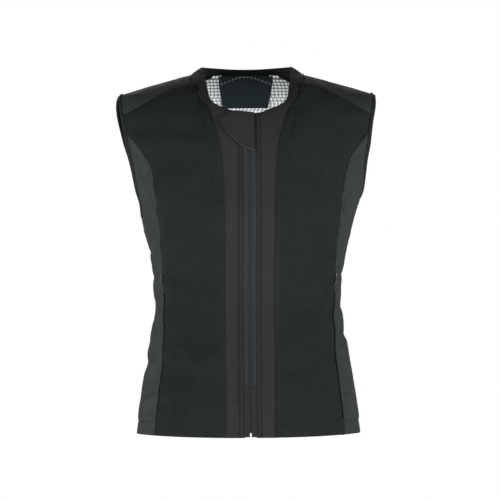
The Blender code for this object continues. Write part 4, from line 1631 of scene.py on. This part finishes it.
@dataclass
class BackPanel:
    """The padded mesh back with its honeycomb lining and the patch inside the neck."""

    shop: Workshop
    thickness: float = 0.0045
    layer_gap: float = 0.0009
    lining: float = 0.0020
    facing: float = 0.0010
    facing_gap: float = 0.0022
    facing_foot: float = 0.894
    facing_rise: float = 0.090
    facing_low: float = 0.170
    facing_high: float = 0.212
    columns: int = 76
    rows: int = 120
    cell: float = 0.0062
    inset: float = 0.006
    neck_reach: float = 0.078
    neck_part: float = 0.50
    neck_bend: float = 0.88
    wear: Wear = Wear(
        turned=(0.0012, 0.0012, 0.0006, 0.0012), turn_width=0.004,
        gathers=(0.00030, 0.00030, 0.0, 0.00020), gather_phase=0.4,
        settling=Settling(slack=0.012, press=0.5, inward=0.0003, outward=0.0030),
    )

    def build(self) -> None:
        """Builds all of it."""
        grid = Grid.laid(self.shop.form, self.shop.panels.back(), self.columns, self.rows)
        lift = self.wear.lift(grid)
        thing = self.shop.cloth("back_panel", "mesh", grid, lift, MESH, self.thickness)
        self.build_lining()
        self.build_patch()

    def build_lining(self) -> None:
        """The honeycomb lining: a thin ground knit with pillows on its inner side."""
        form = self.shop.form
        patch = self.raised(self.shop.panels.back())
        top = -self.thickness - self.layer_gap
        columns, rows = 44, 70
        across, up = Grid.laid(form, patch, columns, rows).runs
        inset = (self.inset / across[-1].mean(), self.inset / up[:, -1].mean())
        grid = Grid.laid(form, patch, columns, rows, inset=inset)
        ground = self.lining * 0.5
        thing = self.shop.cloth("back_lining", "lining", grid, top, LINING, ground, soft=False)
        places, facing = self.pillow_places(patch, top - ground)
        pillows = self.shop.pillows.fill(
            "back_lining_pillows", places, facing, self.cell * 0.47, self.lining * 0.42, PILLOW
        )
        shown(pillows, "lining")

    def raised(self, patch: Patch) -> Patch:
        """The back's patch, drawn up behind the neck band."""
        form, lines = self.shop.form, self.shop.lines
        angle, level = lines.neck(self.neck_part, np.linspace(1.0, lines.neck_at_yoke + 0.06, 60))
        sides = np.abs(form.plain(angle, level)[..., 0])
        fade = 0.0015

        def point(across: Array, up: Array) -> Chart:
            """Angle and height."""
            angle, height = patch(across, up)
            top = patch(across, np.ones_like(np.asarray(across, float)))
            side = np.abs(form.plain(angle, height)[..., 0])
            rise = np.maximum(np.interp(side, sides, level) - top[1], 0.0)
            near = ramp((np.asarray(up) - self.neck_bend) / (1 - self.neck_bend))
            middle = 1 / (1 + np.exp((side - self.neck_reach) / fade))
            return angle, height + rise * near * near * (3 - 2 * near) * middle

        return point

    def pillow_places(self, patch: Patch, lift: float) -> tuple[Array, Array]:
        """Middles and directions of the pillows, in staggered rows.

        Args:
            patch: The back's patch.
            lift: Where the pillows' middles lie.

        Returns:
            The places and which way each one faces.
        """
        form = self.shop.form
        level = self.cell * 0.866 / form.length
        angles: list[Array] = []
        heights: list[Array] = []
        line = np.linspace(math.pi / 2, 3 * math.pi / 2, 400)
        for index in range(int(1.0 / level)):
            height = np.full(line.shape, (index + 0.5) * level)
            width = form.table.at(1, height[0]) * form.half_width
            spots = np.arange(-1.2 * width, 1.2 * width, self.cell) + (index % 2) * self.cell / 2
            steps = np.linalg.norm(np.diff(form.plain(line, height), axis=0), axis=-1)
            run = np.concatenate([[0.0], np.cumsum(steps)])
            run -= run[-1] / 2
            inside = spots[np.abs(spots) < run[-1]]
            angles.append(np.interp(inside, run, line))
            heights.append(np.full(inside.shape, height[0]))
        angle = np.concatenate(angles)
        height = np.concatenate(heights)
        keep = self.inside(patch, angle, height)
        angle, height = angle[keep], height[keep]
        return form.cloth(angle, height, lift), -form.outward(angle, height)

    def inside(self, patch: Patch, angle: Array, height: Array) -> Array:
        """Which places lie on the lining, away from its edges."""
        form = self.shop.form
        share = np.linspace(0, 1, 81)
        zeros, ones = np.zeros_like(share), np.ones_like(share)
        margin = self.inset + self.cell * 0.5

        def turned(chart: Chart) -> Chart:
            """The same line with its angles from 0 to a whole turn."""
            return chart[0] % (2 * math.pi), chart[1]

        def aside(angle: Array) -> Array:
            """Distance round the body from the back's middle."""
            return (angle - math.pi) * form.half_width

        left, right = turned(patch(zeros, share)), turned(patch(ones, share))
        hem, top = turned(patch(share, zeros)), turned(patch(share, ones))
        low = np.interp(height, left[1], aside(left[0])) + margin
        high = np.interp(height, right[1], aside(right[0])) - margin
        order = np.argsort(top[0])
        foot = np.interp(angle, *hem) + margin / form.length
        head = np.interp(angle, top[0][order], top[1][order]) - self.cell * 0.4 / form.length
        across = aside(angle)
        return (across > low) & (across < high) & (height > foot) & (height < head)

    def build_patch(self) -> None:
        """The dark half-moon patch inside the back of the neck, left plain."""
        form = self.shop.form
        lift = -self.thickness - self.layer_gap - self.lining - self.facing_gap

        def patch(across: Array, up: Array) -> Chart:
            """Angle and height."""
            height = self.facing_foot + self.facing_rise * up
            half = (self.facing_low + (self.facing_high - self.facing_low) * up) * form.half_width
            return form.angle_at_width(half * (1 - 2 * across), height, True), height

        grid = Grid.laid(form, patch, 24, 20)
        thing = self.shop.cloth("neck_facing", "facing", grid, lift, FACING, self.facing, soft=False)
        across = np.linspace(0.05, 0.95, 60)
        angle, height = patch(across, 0.77 + 0.19 * np.sin(math.pi * across) ** 0.8)
        row = form.cloth(angle, height, lift - self.facing - 0.0002)
        stitches = self.shop.stitches.sew(
            "neck_facing_stitches", [row], PALE_THREAD, pitch=0.0062, length=0.0042, radius=0.0006
        )
        shown(stitches, "facing")


@dataclass
class SidePanels:
    """The stretch side panels and their hems."""

    shop: Workshop
    thickness: float = 0.0022
    columns: int = 44
    rows: int = 100
    hem_rows: int = 12
    wear: Wear = Wear(
        turned=(0.0010, 0.0010, 0.0004, 0.0008), turn_width=0.0035,
        gathers=(0.00035, 0.00035, 0.0002, 0.0002), gather_pitch=0.019, gather_reach=0.016,
        gather_phase=0.7, wrinkle=0.0017, wrinkle_size=0.034, wrinkle_seed=31,
        settling=Settling(slack=0.03, press=0.8, inward=0.0016, outward=0.0014),
    )
    hem_wear: Wear = Wear(turned=(0.0008, 0.0008, 0.0, 0.0007), turn_width=0.0025)
    # Depths of the painted shade along each seam
    seam_tone: Edges = (0.5, 0.3, 0.2, 0.3)

    def build(self) -> None:
        """Builds and dresses both sides."""
        shop = self.shop
        for side in Side:
            patch = shop.panels.side(side)
            grid = Grid.laid(shop.form, patch, self.columns, self.rows, side.value)
            # The wrinkles are lower where the side makes the outline
            calm = np.clip(np.abs(np.cos(grid.angle)) * 2.4 - 0.1, 0.12, 1.0)
            lift = self.wear.lift(grid, side.value, calm)
            # Painted shade along the seams
            shade = 1.0 + grid.roll(self.seam_tone, 0.0014)
            name = f"side_panel_{side.word}"
            panel = shop.cloth(name, "stretch", grid, lift, STRETCH, self.thickness, shade)
            patch = shop.panels.side_hem(side)
            grid = Grid.laid(shop.form, patch, self.columns, self.hem_rows, side.value)
            lift = self.hem_wear.lift(grid)
            hem = shop.cloth(f"side_hem_{side.word}", "stretch", grid, lift, STRETCH, self.thickness)


@dataclass
class Yokes:
    """The plain cloth over the shoulders."""

    shop: Workshop
    thickness: float = 0.0028
    columns: int = 44
    rows: int = 26
    wear: Wear = Wear(
        turned=(0.0018, 0.0008, 0.0009, 0.0009), turn_width=0.0032,
        gathers=(0.0001, 0.00015, 0.00018, 0.00018), gather_pitch=0.012, gather_reach=0.009,
        gather_phase=0.5, wrinkle=0.0005, wrinkle_size=0.030, wrinkle_seed=51,
    )
    # Depths of the painted shade and painted highlight along the front and back seams
    seam_tone: Edges = (0.0, 0.0, 0.5, 0.4)

    def build(self) -> None:
        """Builds and dresses both."""
        for side in Side:
            patch = self.shop.panels.yoke(side)
            grid = Grid.laid(self.shop.form, patch, self.columns, self.rows, side.value)
            lift = self.wear.lift(grid, side.value)
            # A narrow painted shade in each seam with a wider painted highlight beside it
            shade = 1.0 + grid.roll(self.seam_tone, 0.0012) - grid.roll(self.seam_tone, 0.0050)
            name = f"yoke_{side.word}"
            thing = self.shop.cloth(name, "yoke", grid, lift, YOKE, self.thickness, shade)


@dataclass
class FrontClosure:
    """The plackets, the zip between them with its covers, and the flap over its top."""

    shop: Workshop
    placket: float = 0.0026
    tape: float = 0.0014
    coil: float = 0.0020
    flap: float = 0.0018
    trim: float = 0.0018
    layer_gap: float = 0.0009
    tape_inner: float = 0.0023
    tape_depth: float = 0.0008
    zip_foot: float = 0.1465
    zip_head: float = 0.87184
    tuck: float = 0.020
    cover_foot: float = 0.006
    cover_gap: float = 0.003
    cover_slant: float = 0.010
    slit_top: float = 0.024
    topstitch: float = 0.0182
    flap_bulge: float = 0.0022
    wear: Wear = Wear(
        turned=(0.0009, 0.0010, 0.0006, 0.0008), turn_width=0.0024, gathers=(0.0, 0.00022, 0.0, 0.0),
        gather_reach=0.008, gather_phase=0.9, wrinkle=1.0, wrinkle_size=0.020, wrinkle_seed=71,
    )
    tape_ribs: tuple[Stripe, ...] = (Stripe(0.0007, 0.0042, 0.0011), Stripe(0.0004, 0.0078, 0.0007))
    # Painted shade and painted highlight lines on the tape, beside the coil and under the placket's fold
    tape_tones: tuple[Stripe, ...] = (Stripe(-0.55, 0.0030, 0.0005), Stripe(0.45, 0.0043, 0.0006))
    fold_tones: tuple[Stripe, ...] = (Stripe(0.9, -0.0017, 0.0006), Stripe(-0.6, -0.0003, 0.0006))
    cover_ribs: tuple[Stripe, ...] = (Stripe(-0.0004, 0.0040, 0.0007), Stripe(-0.0003, 0.0080, 0.0007))
    # Painted shade lines on the zip covers
    cover_tones: tuple[Stripe, ...] = (Stripe(-0.75, 0.0, 0.0009), Stripe(-0.25, 0.0062, 0.0006))

    def build(self) -> None:
        """Builds all of it."""
        for side in Side:
            self.build_placket(side)
            self.build_tape(side)
            self.build_cover(side)
        self.build_coil()
        self.build_flap()

    def build_placket(self, side: Side) -> None:
        """One placket, folded beside the zip and topstitched."""
        grid = Grid.laid(self.shop.form, self.shop.panels.placket(), 24, 140, side.value)
        inside = np.abs(grid.flat[..., 0]) - self.topstitch
        valley = bell(inside, 0.0011)
        low = bell(grid.height - 0.13, 0.11)
        gather = bell(inside - 0.003, 0.005)
        lift = self.wear.lift(grid, side.value, 0.00030 + 0.00085 * low) - 0.0005 * valley
        lift = lift + 0.00018 * gather * np.sin(grid.runs[1] * 2 * math.pi / 0.017 + 1.3 * side.value)
        # A darker strip of cloth beside the zip, with painted shade in the topstitch groove and along the
        # fold, the seam and the top edge
        shade = 1.0 - 0.14 / (1.0 + np.exp(inside / 0.0004)) - 0.45 * valley
        shade = shade + grid.roll((0.4, 0.45, 0.0, 0.3), 0.0010)
        name = f"placket_{side.word}"
        thing = self.shop.cloth(name, "placket", grid, lift, PLACKET, self.placket, shade)

    def tucked(self, height: Array) -> Array:
        """How far the zip's foot lies behind its covers."""
        share = ramp((self.zip_foot + 0.004 - height) / 0.010)
        return (self.trim - 0.0002) * share * share * (3 - 2 * share)

    def build_tape(self, side: Side) -> None:
        """One zip tape, with ribs that stand beside the coil."""
        outer = self.shop.lines.fold_edge
        strip = self.shop.panels.strip(self.tape_inner, outer, self.zip_foot - self.tuck, self.zip_head)
        grid = Grid.laid(self.shop.form, strip, 28, 120, side.value)
        across = np.abs(grid.flat[..., 0])
        lift = striped(across, *self.tape_ribs) - self.tape_depth - self.tucked(grid.height)
        # Painted highlight and shade under the placket's fold, painted shade beside the coil and a
        # painted highlight on the rib
        shade = 1.0 + striped(across - outer, *self.fold_tones) + striped(across, *self.tape_tones)
        name = f"zip_tape_{side.word}"
        thing = self.shop.cloth(name, "zip", grid, lift, TAPE, self.tape, shade, soft=False)

    def build_cover(self, side: Side) -> None:
        """The cloth over one side of the zip's foot, cut to a point at its top."""
        outer = self.shop.lines.fold_edge
        head = self.zip_foot - self.cover_gap
        form = self.shop.form

        def patch(out: Array, up: Array) -> Chart:
            """Angle and height, with a small slit between the covers at the hem."""
            top = head - self.cover_slant * (1 - out)
            height = self.cover_foot + (top - self.cover_foot) * up
            inner = 0.0003 + 0.0014 * ramp((self.slit_top - height) / 0.010)
            return form.angle_at_width(inner + (outer - inner) * out, height), height

        grid = Grid.laid(form, patch, 16, 40, side.value)
        across = np.abs(grid.flat[..., 0])
        lift = grid.roll((0.0007, 0.0002, 0.0006, 0.0006), 0.0014) + striped(across, *self.cover_ribs)
        # Painted shade at the slit between the covers, between the ribs and against the placket, and a
        # painted highlight along the top edge
        shade = 1.0 + striped(across, *self.cover_tones) - 0.35 * bell(across - outer, 0.0008)
        shade = shade + 0.8 * bell(grid.edges[3], 0.0014)
        name = f"zip_cover_{side.word}"
        thing = self.shop.cloth(name, "placket", grid, lift, PLACKET, self.trim, shade)

    def build_coil(self) -> None:
        """The closed coil, hidden in a narrow ridge between the tapes."""
        inner = self.tape_inner
        strip = self.shop.panels.strip(-inner, inner, self.zip_foot - self.tuck, self.zip_head)
        grid = Grid.laid(self.shop.form, strip, 20, 120)
        across = grid.flat[..., 0]
        ridge = np.cos(0.5 * math.pi * across / inner) - bell(across, 0.0004)
        lift = 0.0006 * ridge - self.tape_depth - self.tucked(grid.height)
        # Darker all over, with painted shade in the middle groove and painted highlights on the two
        # ridges beside it
        shade = 0.9 - 0.6 * bell(across, 0.0005) + 0.4 * bell(np.abs(across) - 0.0011, 0.0005)
        self.shop.cloth("zip_coil", "zip", grid, lift, TAPE, self.coil, shade, soft=False)

    def build_flap(self) -> None:
        """The flap over the top of the zip, sewn along its edge on the wearer's left."""
        form = self.shop.form
        bottom, top = SmoothTable(FLAP_BOTTOM), SmoothTable(FLAP_TOP)

        def patch(across: Array, up: Array) -> Chart:
            """Angle and height."""
            share, height = (
                bottom.at(column, across) * (1 - up) + top.at(column, across) * up for column in (1, 2)
            )
            bulge = self.flap_bulge * np.sin(math.pi * up) * (1 - across) ** 0.7
            return form.angle_at_width(share * form.half_width - bulge, height), height

        grid = Grid.laid(form, patch, 48, 40)
        _, to_seam, up, _ = grid.edges
        inset = bell(up - 0.0046, 0.0008)
        lift = self.layer_gap + self.flap + grid.roll((0.0, 0.0016, 0.0003, 0.0004), 0.0020)
        lift = lift - 0.0006 * inset + 0.0010 * bell(up, 0.010) * ramp(to_seam / 0.012)
        # A painted highlight along the lower edge, painted shade in the stitched groove inside it and
        # along the sewn edge
        shade = 1.0 + 0.75 * bell(up, 0.0017) - 0.40 * inset - 0.55 * bell(to_seam, 0.0010)
        thing = self.shop.cloth("zip_flap", "placket", grid, lift, PLACKET, self.flap, shade)


@dataclass
class BoundEdges:
    """The folded bands round the armholes and the neck."""

    shop: Workshop
    thickness: float = 0.0032
    stations: int = 220
    past_seam: float = 0.035
    sunk: float = 0.0013

    def build(self) -> None:
        """Builds the three bands."""
        lines = self.shop.lines
        turns = np.arange(self.stations) / self.stations * 2 * math.pi
        for side in Side:
            seam = partial(lines.arm, side)
            points, uv = self.shop.band(seam, turns, self.thickness, side.value)
            name = f"armhole_band_{side.word}"
            thing = shown(mesh_object(f"{name}_tape", points, uv, BAND, (True, True)), "band", name)
        start = lines.neck_at_placket - self.past_seam
        whole = np.linspace(start, 2 - start, self.stations)
        # Its ends lie under the plackets
        past = ramp((lines.neck_at_placket - 0.003 - np.minimum(whole, 2 - whole)) / 0.010)

        def neck(part: Array, along: Array) -> Chart:
            """The neck by part and share, 0 to 1 on the left and back to 2 on the right."""
            angle, height = lines.neck(part, np.minimum(along, 2 - along))
            return np.where(along > 1, -angle, angle), height

        points, uv = self.shop.band(neck, whole, self.thickness, sink=self.sunk * past)
        for end in (0, -1):
            points[end] = points[end].mean(axis=0)
        thing = shown(mesh_object("neck_band_tape", points, uv, BAND, (False, True)), "band", "neck_band")


@dataclass
class Pockets:
    """The welts along the side seams and the small metal pulls at their tops.

    Places along the seam are counted in rows of the side panel.
    """

    shop: Workshop
    width: float = 0.0050
    behind: float = 0.45
    foot: float = 0.1
    rise: float = 6.5
    length: float = 0.225
    seam_rows: int = 15
    trim: float = 0.0018
    layer_gap: float = 0.0009
    pull: tuple[float, float, float] = (0.0034, 0.018, 0.0018)
    pull_row: float = 7.35
    pull_points: int = 24
    pull_hole: tuple[float, float] = (0.45, 0.62)
    pull_edge: float = 0.0003

    def beside(self, side: Side, row: Array | float, turn: Array | float, lift: Array | float) -> Array:
        """Points beside the side seam."""
        lines = self.shop.lines
        angle, height = lines.side(side, np.asarray(row) / self.seam_rows, lines.side_hem)
        return self.shop.form.cloth(side.value * (angle + turn), height, lift)

    def build(self) -> None:
        """Builds both sides."""
        across, up = np.meshgrid(np.linspace(0, 1, 9), np.linspace(0, 1, 91), indexing="ij")
        turn = (across - self.behind) * self.width / self.shop.form.front
        bow = np.abs(2 * across - 1)
        uv = np.stack([across * self.width, up * self.length], axis=-1)
        for side in Side:
            points = self.beside(side, self.foot + self.rise * up, turn, self.trim - 0.0006 * bow**3)
            name = f"pocket_welt_{side.word}"
            # The welt's edges carry painted highlights
            welt = mesh_object(f"{name}_cloth", points, uv, STRETCH, shade=0.9 + 0.7 * bow**4)
            thicken(welt, self.trim + self.layer_gap)
            shown(welt, "stretch", name)
            self.build_pull(side)

    def build_pull(self, side: Side) -> None:
        """A small pull with a rounded, waisted outline and a hole for its tape."""
        wide, tall, deep = self.pull
        count = self.pull_points
        lift = self.layer_gap + deep / 2
        middle = Vector(self.beside(side, self.pull_row, 0.0, lift))
        above = Vector(self.beside(side, self.pull_row + 0.1, 0.0, lift))
        beside = Vector(self.beside(side, self.pull_row, 0.02 * side.value, lift))
        up = (above - middle).normalized()
        normal = (beside - middle).cross(up).normalized()
        along = up.cross(normal)
        shape = bmesh.new()
        rings = []
        hole = self.pull_hole
        for shares, depth in (((1.0, 1.0), -0.5), ((1.0, 1.0), 0.5), (hole, 0.5), (hole, -0.5)):
            found = []
            for k in range(count):
                turn = 2 * math.pi * k / count
                cosine, sine = math.cos(turn), math.sin(turn)
                waist = 1.0 - 0.18 * math.cos(2 * turn) ** 2
                x = math.copysign(abs(cosine) ** 0.7, cosine) * waist * shares[0]
                y = math.copysign(abs(sine) ** 0.7, sine) * shares[1]
                spot = middle + along * (x * wide / 2) + up * (y * tall / 2)
                found.append(shape.verts.new(spot + normal * (depth * deep)))
            rings.append(found)
        for first, second in zip(rings, rings[1:] + rings[:1]):
            for k in range(count):
                after = (k + 1) % count
                shape.faces.new((first[k], first[after], second[after], second[k]))
        bmesh.ops.recalc_face_normals(shape, faces=shape.faces)
        name = f"pocket_puller_{side.word}"
        data = bpy.data.meshes.new(f"{name}_metal")
        shape.to_mesh(data)
        shape.free()
        data.materials.append(METAL.material())
        data.uv_layers.new(name="cloth")
        thing = linked(f"{name}_metal", data)
        edge = thing.modifiers.new("Edges", "BEVEL")
        edge.width = self.pull_edge
        edge.segments = 2
        shown(thing, "puller", name)


@dataclass
class Seaming:
    """The stitches that show along seams, folds and edges."""

    shop: Workshop
    proud: float = 0.00010
    topstitch: float = 0.0182
    topstitch_foot: float = 0.006
    topstitch_head: float = 0.862
    placket_inset: float = 0.0022
    side_inset: float = 0.0026
    hem_rise: float = 0.013
    hem_start: float = 8.0
    yoke_parts: tuple[float, float] = (0.07, 0.93)
    band_part: float = 0.80

    def row(self, sign: int, chart: Chart, lift: float) -> Array:
        """A row's points on the cloth's outer face, on one side."""
        return self.shop.form.cloth(sign * chart[0], chart[1], lift + self.proud)

    def build(self) -> None:
        """Sews every row."""
        self.sew("placket_stitches", self.placket_rows(), "placket")
        self.sew("side_stitches", self.side_rows(), "stretch", GREY_THREAD_AND_PAINTED_HIGHLIGHT)
        self.sew("hem_stitches", self.hem_rows(), "mesh")
        # The yoke's grey row stands in for the highlight along the seam, a painted highlight
        self.sew("yoke_stitches", self.yoke_rows(), "yoke", GREY_THREAD_AND_PAINTED_HIGHLIGHT)
        self.sew("band_stitches", self.band_rows(), "band")

    def sew(self, name: str, rows: Sequence[Array], slot: str, finish: Finish = THREAD) -> None:
        """Sews rows and lets them ride on the vest."""
        shown(self.shop.stitches.sew(name, rows, finish), slot)

    def placket_rows(self) -> list[Array]:
        """A row in each placket's groove and one inside its outer seam."""
        form, lines = self.shop.form, self.shop.lines
        up = np.linspace(0.0, 1.0, 240)
        height = self.topstitch_foot + (self.topstitch_head - self.topstitch_foot) * up
        angle, level = lines.placket(0.01 + 0.97 * up)
        rows = []
        for side in Side:
            inner = (form.angle_at_width(self.topstitch, height), height)
            outer = (angle - self.placket_inset / form.half_width, level)
            rows += [self.row(side.value, inner, -0.0005), self.row(side.value, outer, -0.0003)]
        return rows

    def side_rows(self) -> list[Array]:
        """A row beside the front and back seam of each side panel."""
        form, lines = self.shop.form, self.shop.lines
        up = 0.005 + 0.985 * np.linspace(0.0, 1.0, 240)
        rows = []
        for side in Side:
            for behind in (False, True):
                shift = -self.side_inset / form.back if behind else self.side_inset / form.front
                angle, level = lines.side(side, up, lines.side_hem, behind)
                rows.append(self.row(side.value, (angle + shift, level), -0.0003))
        return rows

    def hem_rows(self) -> list[Array]:
        """One row along the hem of the fronts, the back and the sides."""
        start = math.radians(self.hem_start)
        angle = np.linspace(start, 2 * math.pi - start, 900)
        return [self.row(1, (angle, self.shop.lines.hem(angle) + self.hem_rise), -0.0001)]

    def yoke_rows(self) -> list[Array]:
        """A row inside each yoke seam."""
        out = np.linspace(0.02, 0.98, 90)
        return [
            self.row(side.value, self.shop.panels.yoke(side)(out, np.full_like(out, over)), 0.0003)
            for side in Side
            for over in self.yoke_parts
        ]

    def band_rows(self) -> list[Array]:
        """A row round each armhole and the neck, near the band's seam."""
        lines = self.shop.lines
        turn = np.linspace(0, 2 * math.pi, 400)
        neck = lines.neck(self.band_part, np.linspace(lines.neck_at_placket, 1, 300))
        rows = [self.row(side.value, lines.arm(side, self.band_part, turn), 0.0001) for side in Side]
        return rows + [self.row(sign, neck, 0.0001) for sign in (1, -1)]


def aimed(thing: bpy.types.Object, place: Vector, aim: Vector, lean: float = 0.0) -> None:
    """Puts a camera or a lamp at a place and turns it along a direction, leaning by degrees."""
    thing.location = place
    thing.rotation_mode = "QUATERNION"
    thing.rotation_quaternion = aim.to_track_quat("-Z", "Y") @ Quaternion((0, 0, 1), math.radians(lean))


@dataclass(frozen=True)
class Viewpoint:
    """Where the photograph was taken from, with its angles in degrees."""

    middle: Place = (0.0038, 0.0, -0.2752)
    away: float = 14.0
    azimuth: float = -1.84
    rise: float = 0.7
    lean: float = -0.28
    width: float = 0.810
    sensor: float = 36.0

    def place(self) -> None:
        """Adds the camera."""
        turn, rise = math.radians(self.azimuth), math.radians(self.rise)
        back = Vector((math.sin(turn) * math.cos(rise), -math.cos(turn) * math.cos(rise), math.sin(rise)))
        data = bpy.data.cameras.new("View")
        data.sensor_width = self.sensor
        data.lens = self.sensor * self.away / self.width
        data.clip_end = 100.0
        camera = linked("View", data)
        aimed(camera, Vector(self.middle) + back * self.away, -back, self.lean)
        bpy.context.scene.camera = camera


@dataclass(frozen=True)
class Studio:
    """The pale floor and the soft light round the vest."""

    lamps: tuple[tuple[str, Place, float, float], ...] = (
        ("Key", (-2.9, -1.8, -0.5), 1.2, 105.0),
        ("Fill", (3.0, -1.6, -0.4), 1.2, 90.0),
        ("Front", (0.3, -3.4, -0.3), 1.2, 20.0),
        ("Rim", (0.0, 2.8, 1.2), 2.0, 50.0),
    )
    aim: Place = (0.0, 0.0, -0.25)
    ambient: float = 0.22
    floor_reach: float = 3.0
    floor_drop: float = 0.6
    floor_points: int = 96
    floor_tone: float = 0.92
    floor_glow: float = 0.25

    def light(self) -> None:
        """Adds the world, white behind the vest and dimmer as a light, and the lamps."""
        scene = bpy.context.scene
        scene.world = bpy.data.worlds.new("Studio")
        scene.world.use_nodes = True
        sky = Nodes(scene.world.node_tree)
        seen = sky.term("ShaderNodeLightPath", output="Is Camera Ray")
        sockets = sky.tree.nodes["Background"].inputs
        sky.feed(sockets[0], (1.0, 1.0, 1.0, 1.0))
        sky.feed(sockets[1], self.ambient + seen * (1 - self.ambient))
        scene.view_settings.view_transform = "Standard"
        for name, place, size, power in self.lamps:
            lamp = bpy.data.lights.new(name, "AREA")
            lamp.size = size
            lamp.energy = power
            aimed(linked(name, lamp), Vector(place), Vector(self.aim) - Vector(place))

    def lay_floor(self, form: BodyForm) -> None:
        """Adds a round floor under the vest."""
        low = -form.hang - self.floor_drop
        turns = [2 * math.pi * k / self.floor_points for k in range(self.floor_points)]
        points = [(self.floor_reach * math.cos(a), self.floor_reach * math.sin(a), low) for a in turns]
        data = bpy.data.meshes.new("Floor")
        data.from_pydata(points, [], [tuple(range(self.floor_points))])
        paint = bpy.data.materials.new("Floor paint")
        paint.use_nodes = True
        sockets = paint.node_tree.nodes["Principled BSDF"].inputs
        sockets["Base Color"].default_value = (self.floor_tone, self.floor_tone, self.floor_tone, 1.0)
        sockets["Emission Color"].default_value = (1.0, 1.0, 1.0, 1.0)
        sockets["Emission Strength"].default_value = self.floor_glow
        data.materials.append(paint)
        linked("Floor", data)


def main() -> None:
    """Loads the frame, dresses it and reports each piece."""
    logging.basicConfig(level=logging.INFO, format="%(message)s")
    for thing in list(bpy.data.objects):
        bpy.data.objects.remove(thing, do_unlink=True)
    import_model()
    shop = Workshop()
    makers = (
        FrontPanels(shop), BackPanel(shop), SidePanels(shop), Yokes(shop), FrontClosure(shop),
        BoundEdges(shop), Pockets(shop), Seaming(shop),
    )
    for maker in makers:
        maker.build()
    Viewpoint().place()
    studio = Studio()
    studio.light()
    studio.lay_floor(shop.form)


if __name__ == "__main__":
    main()
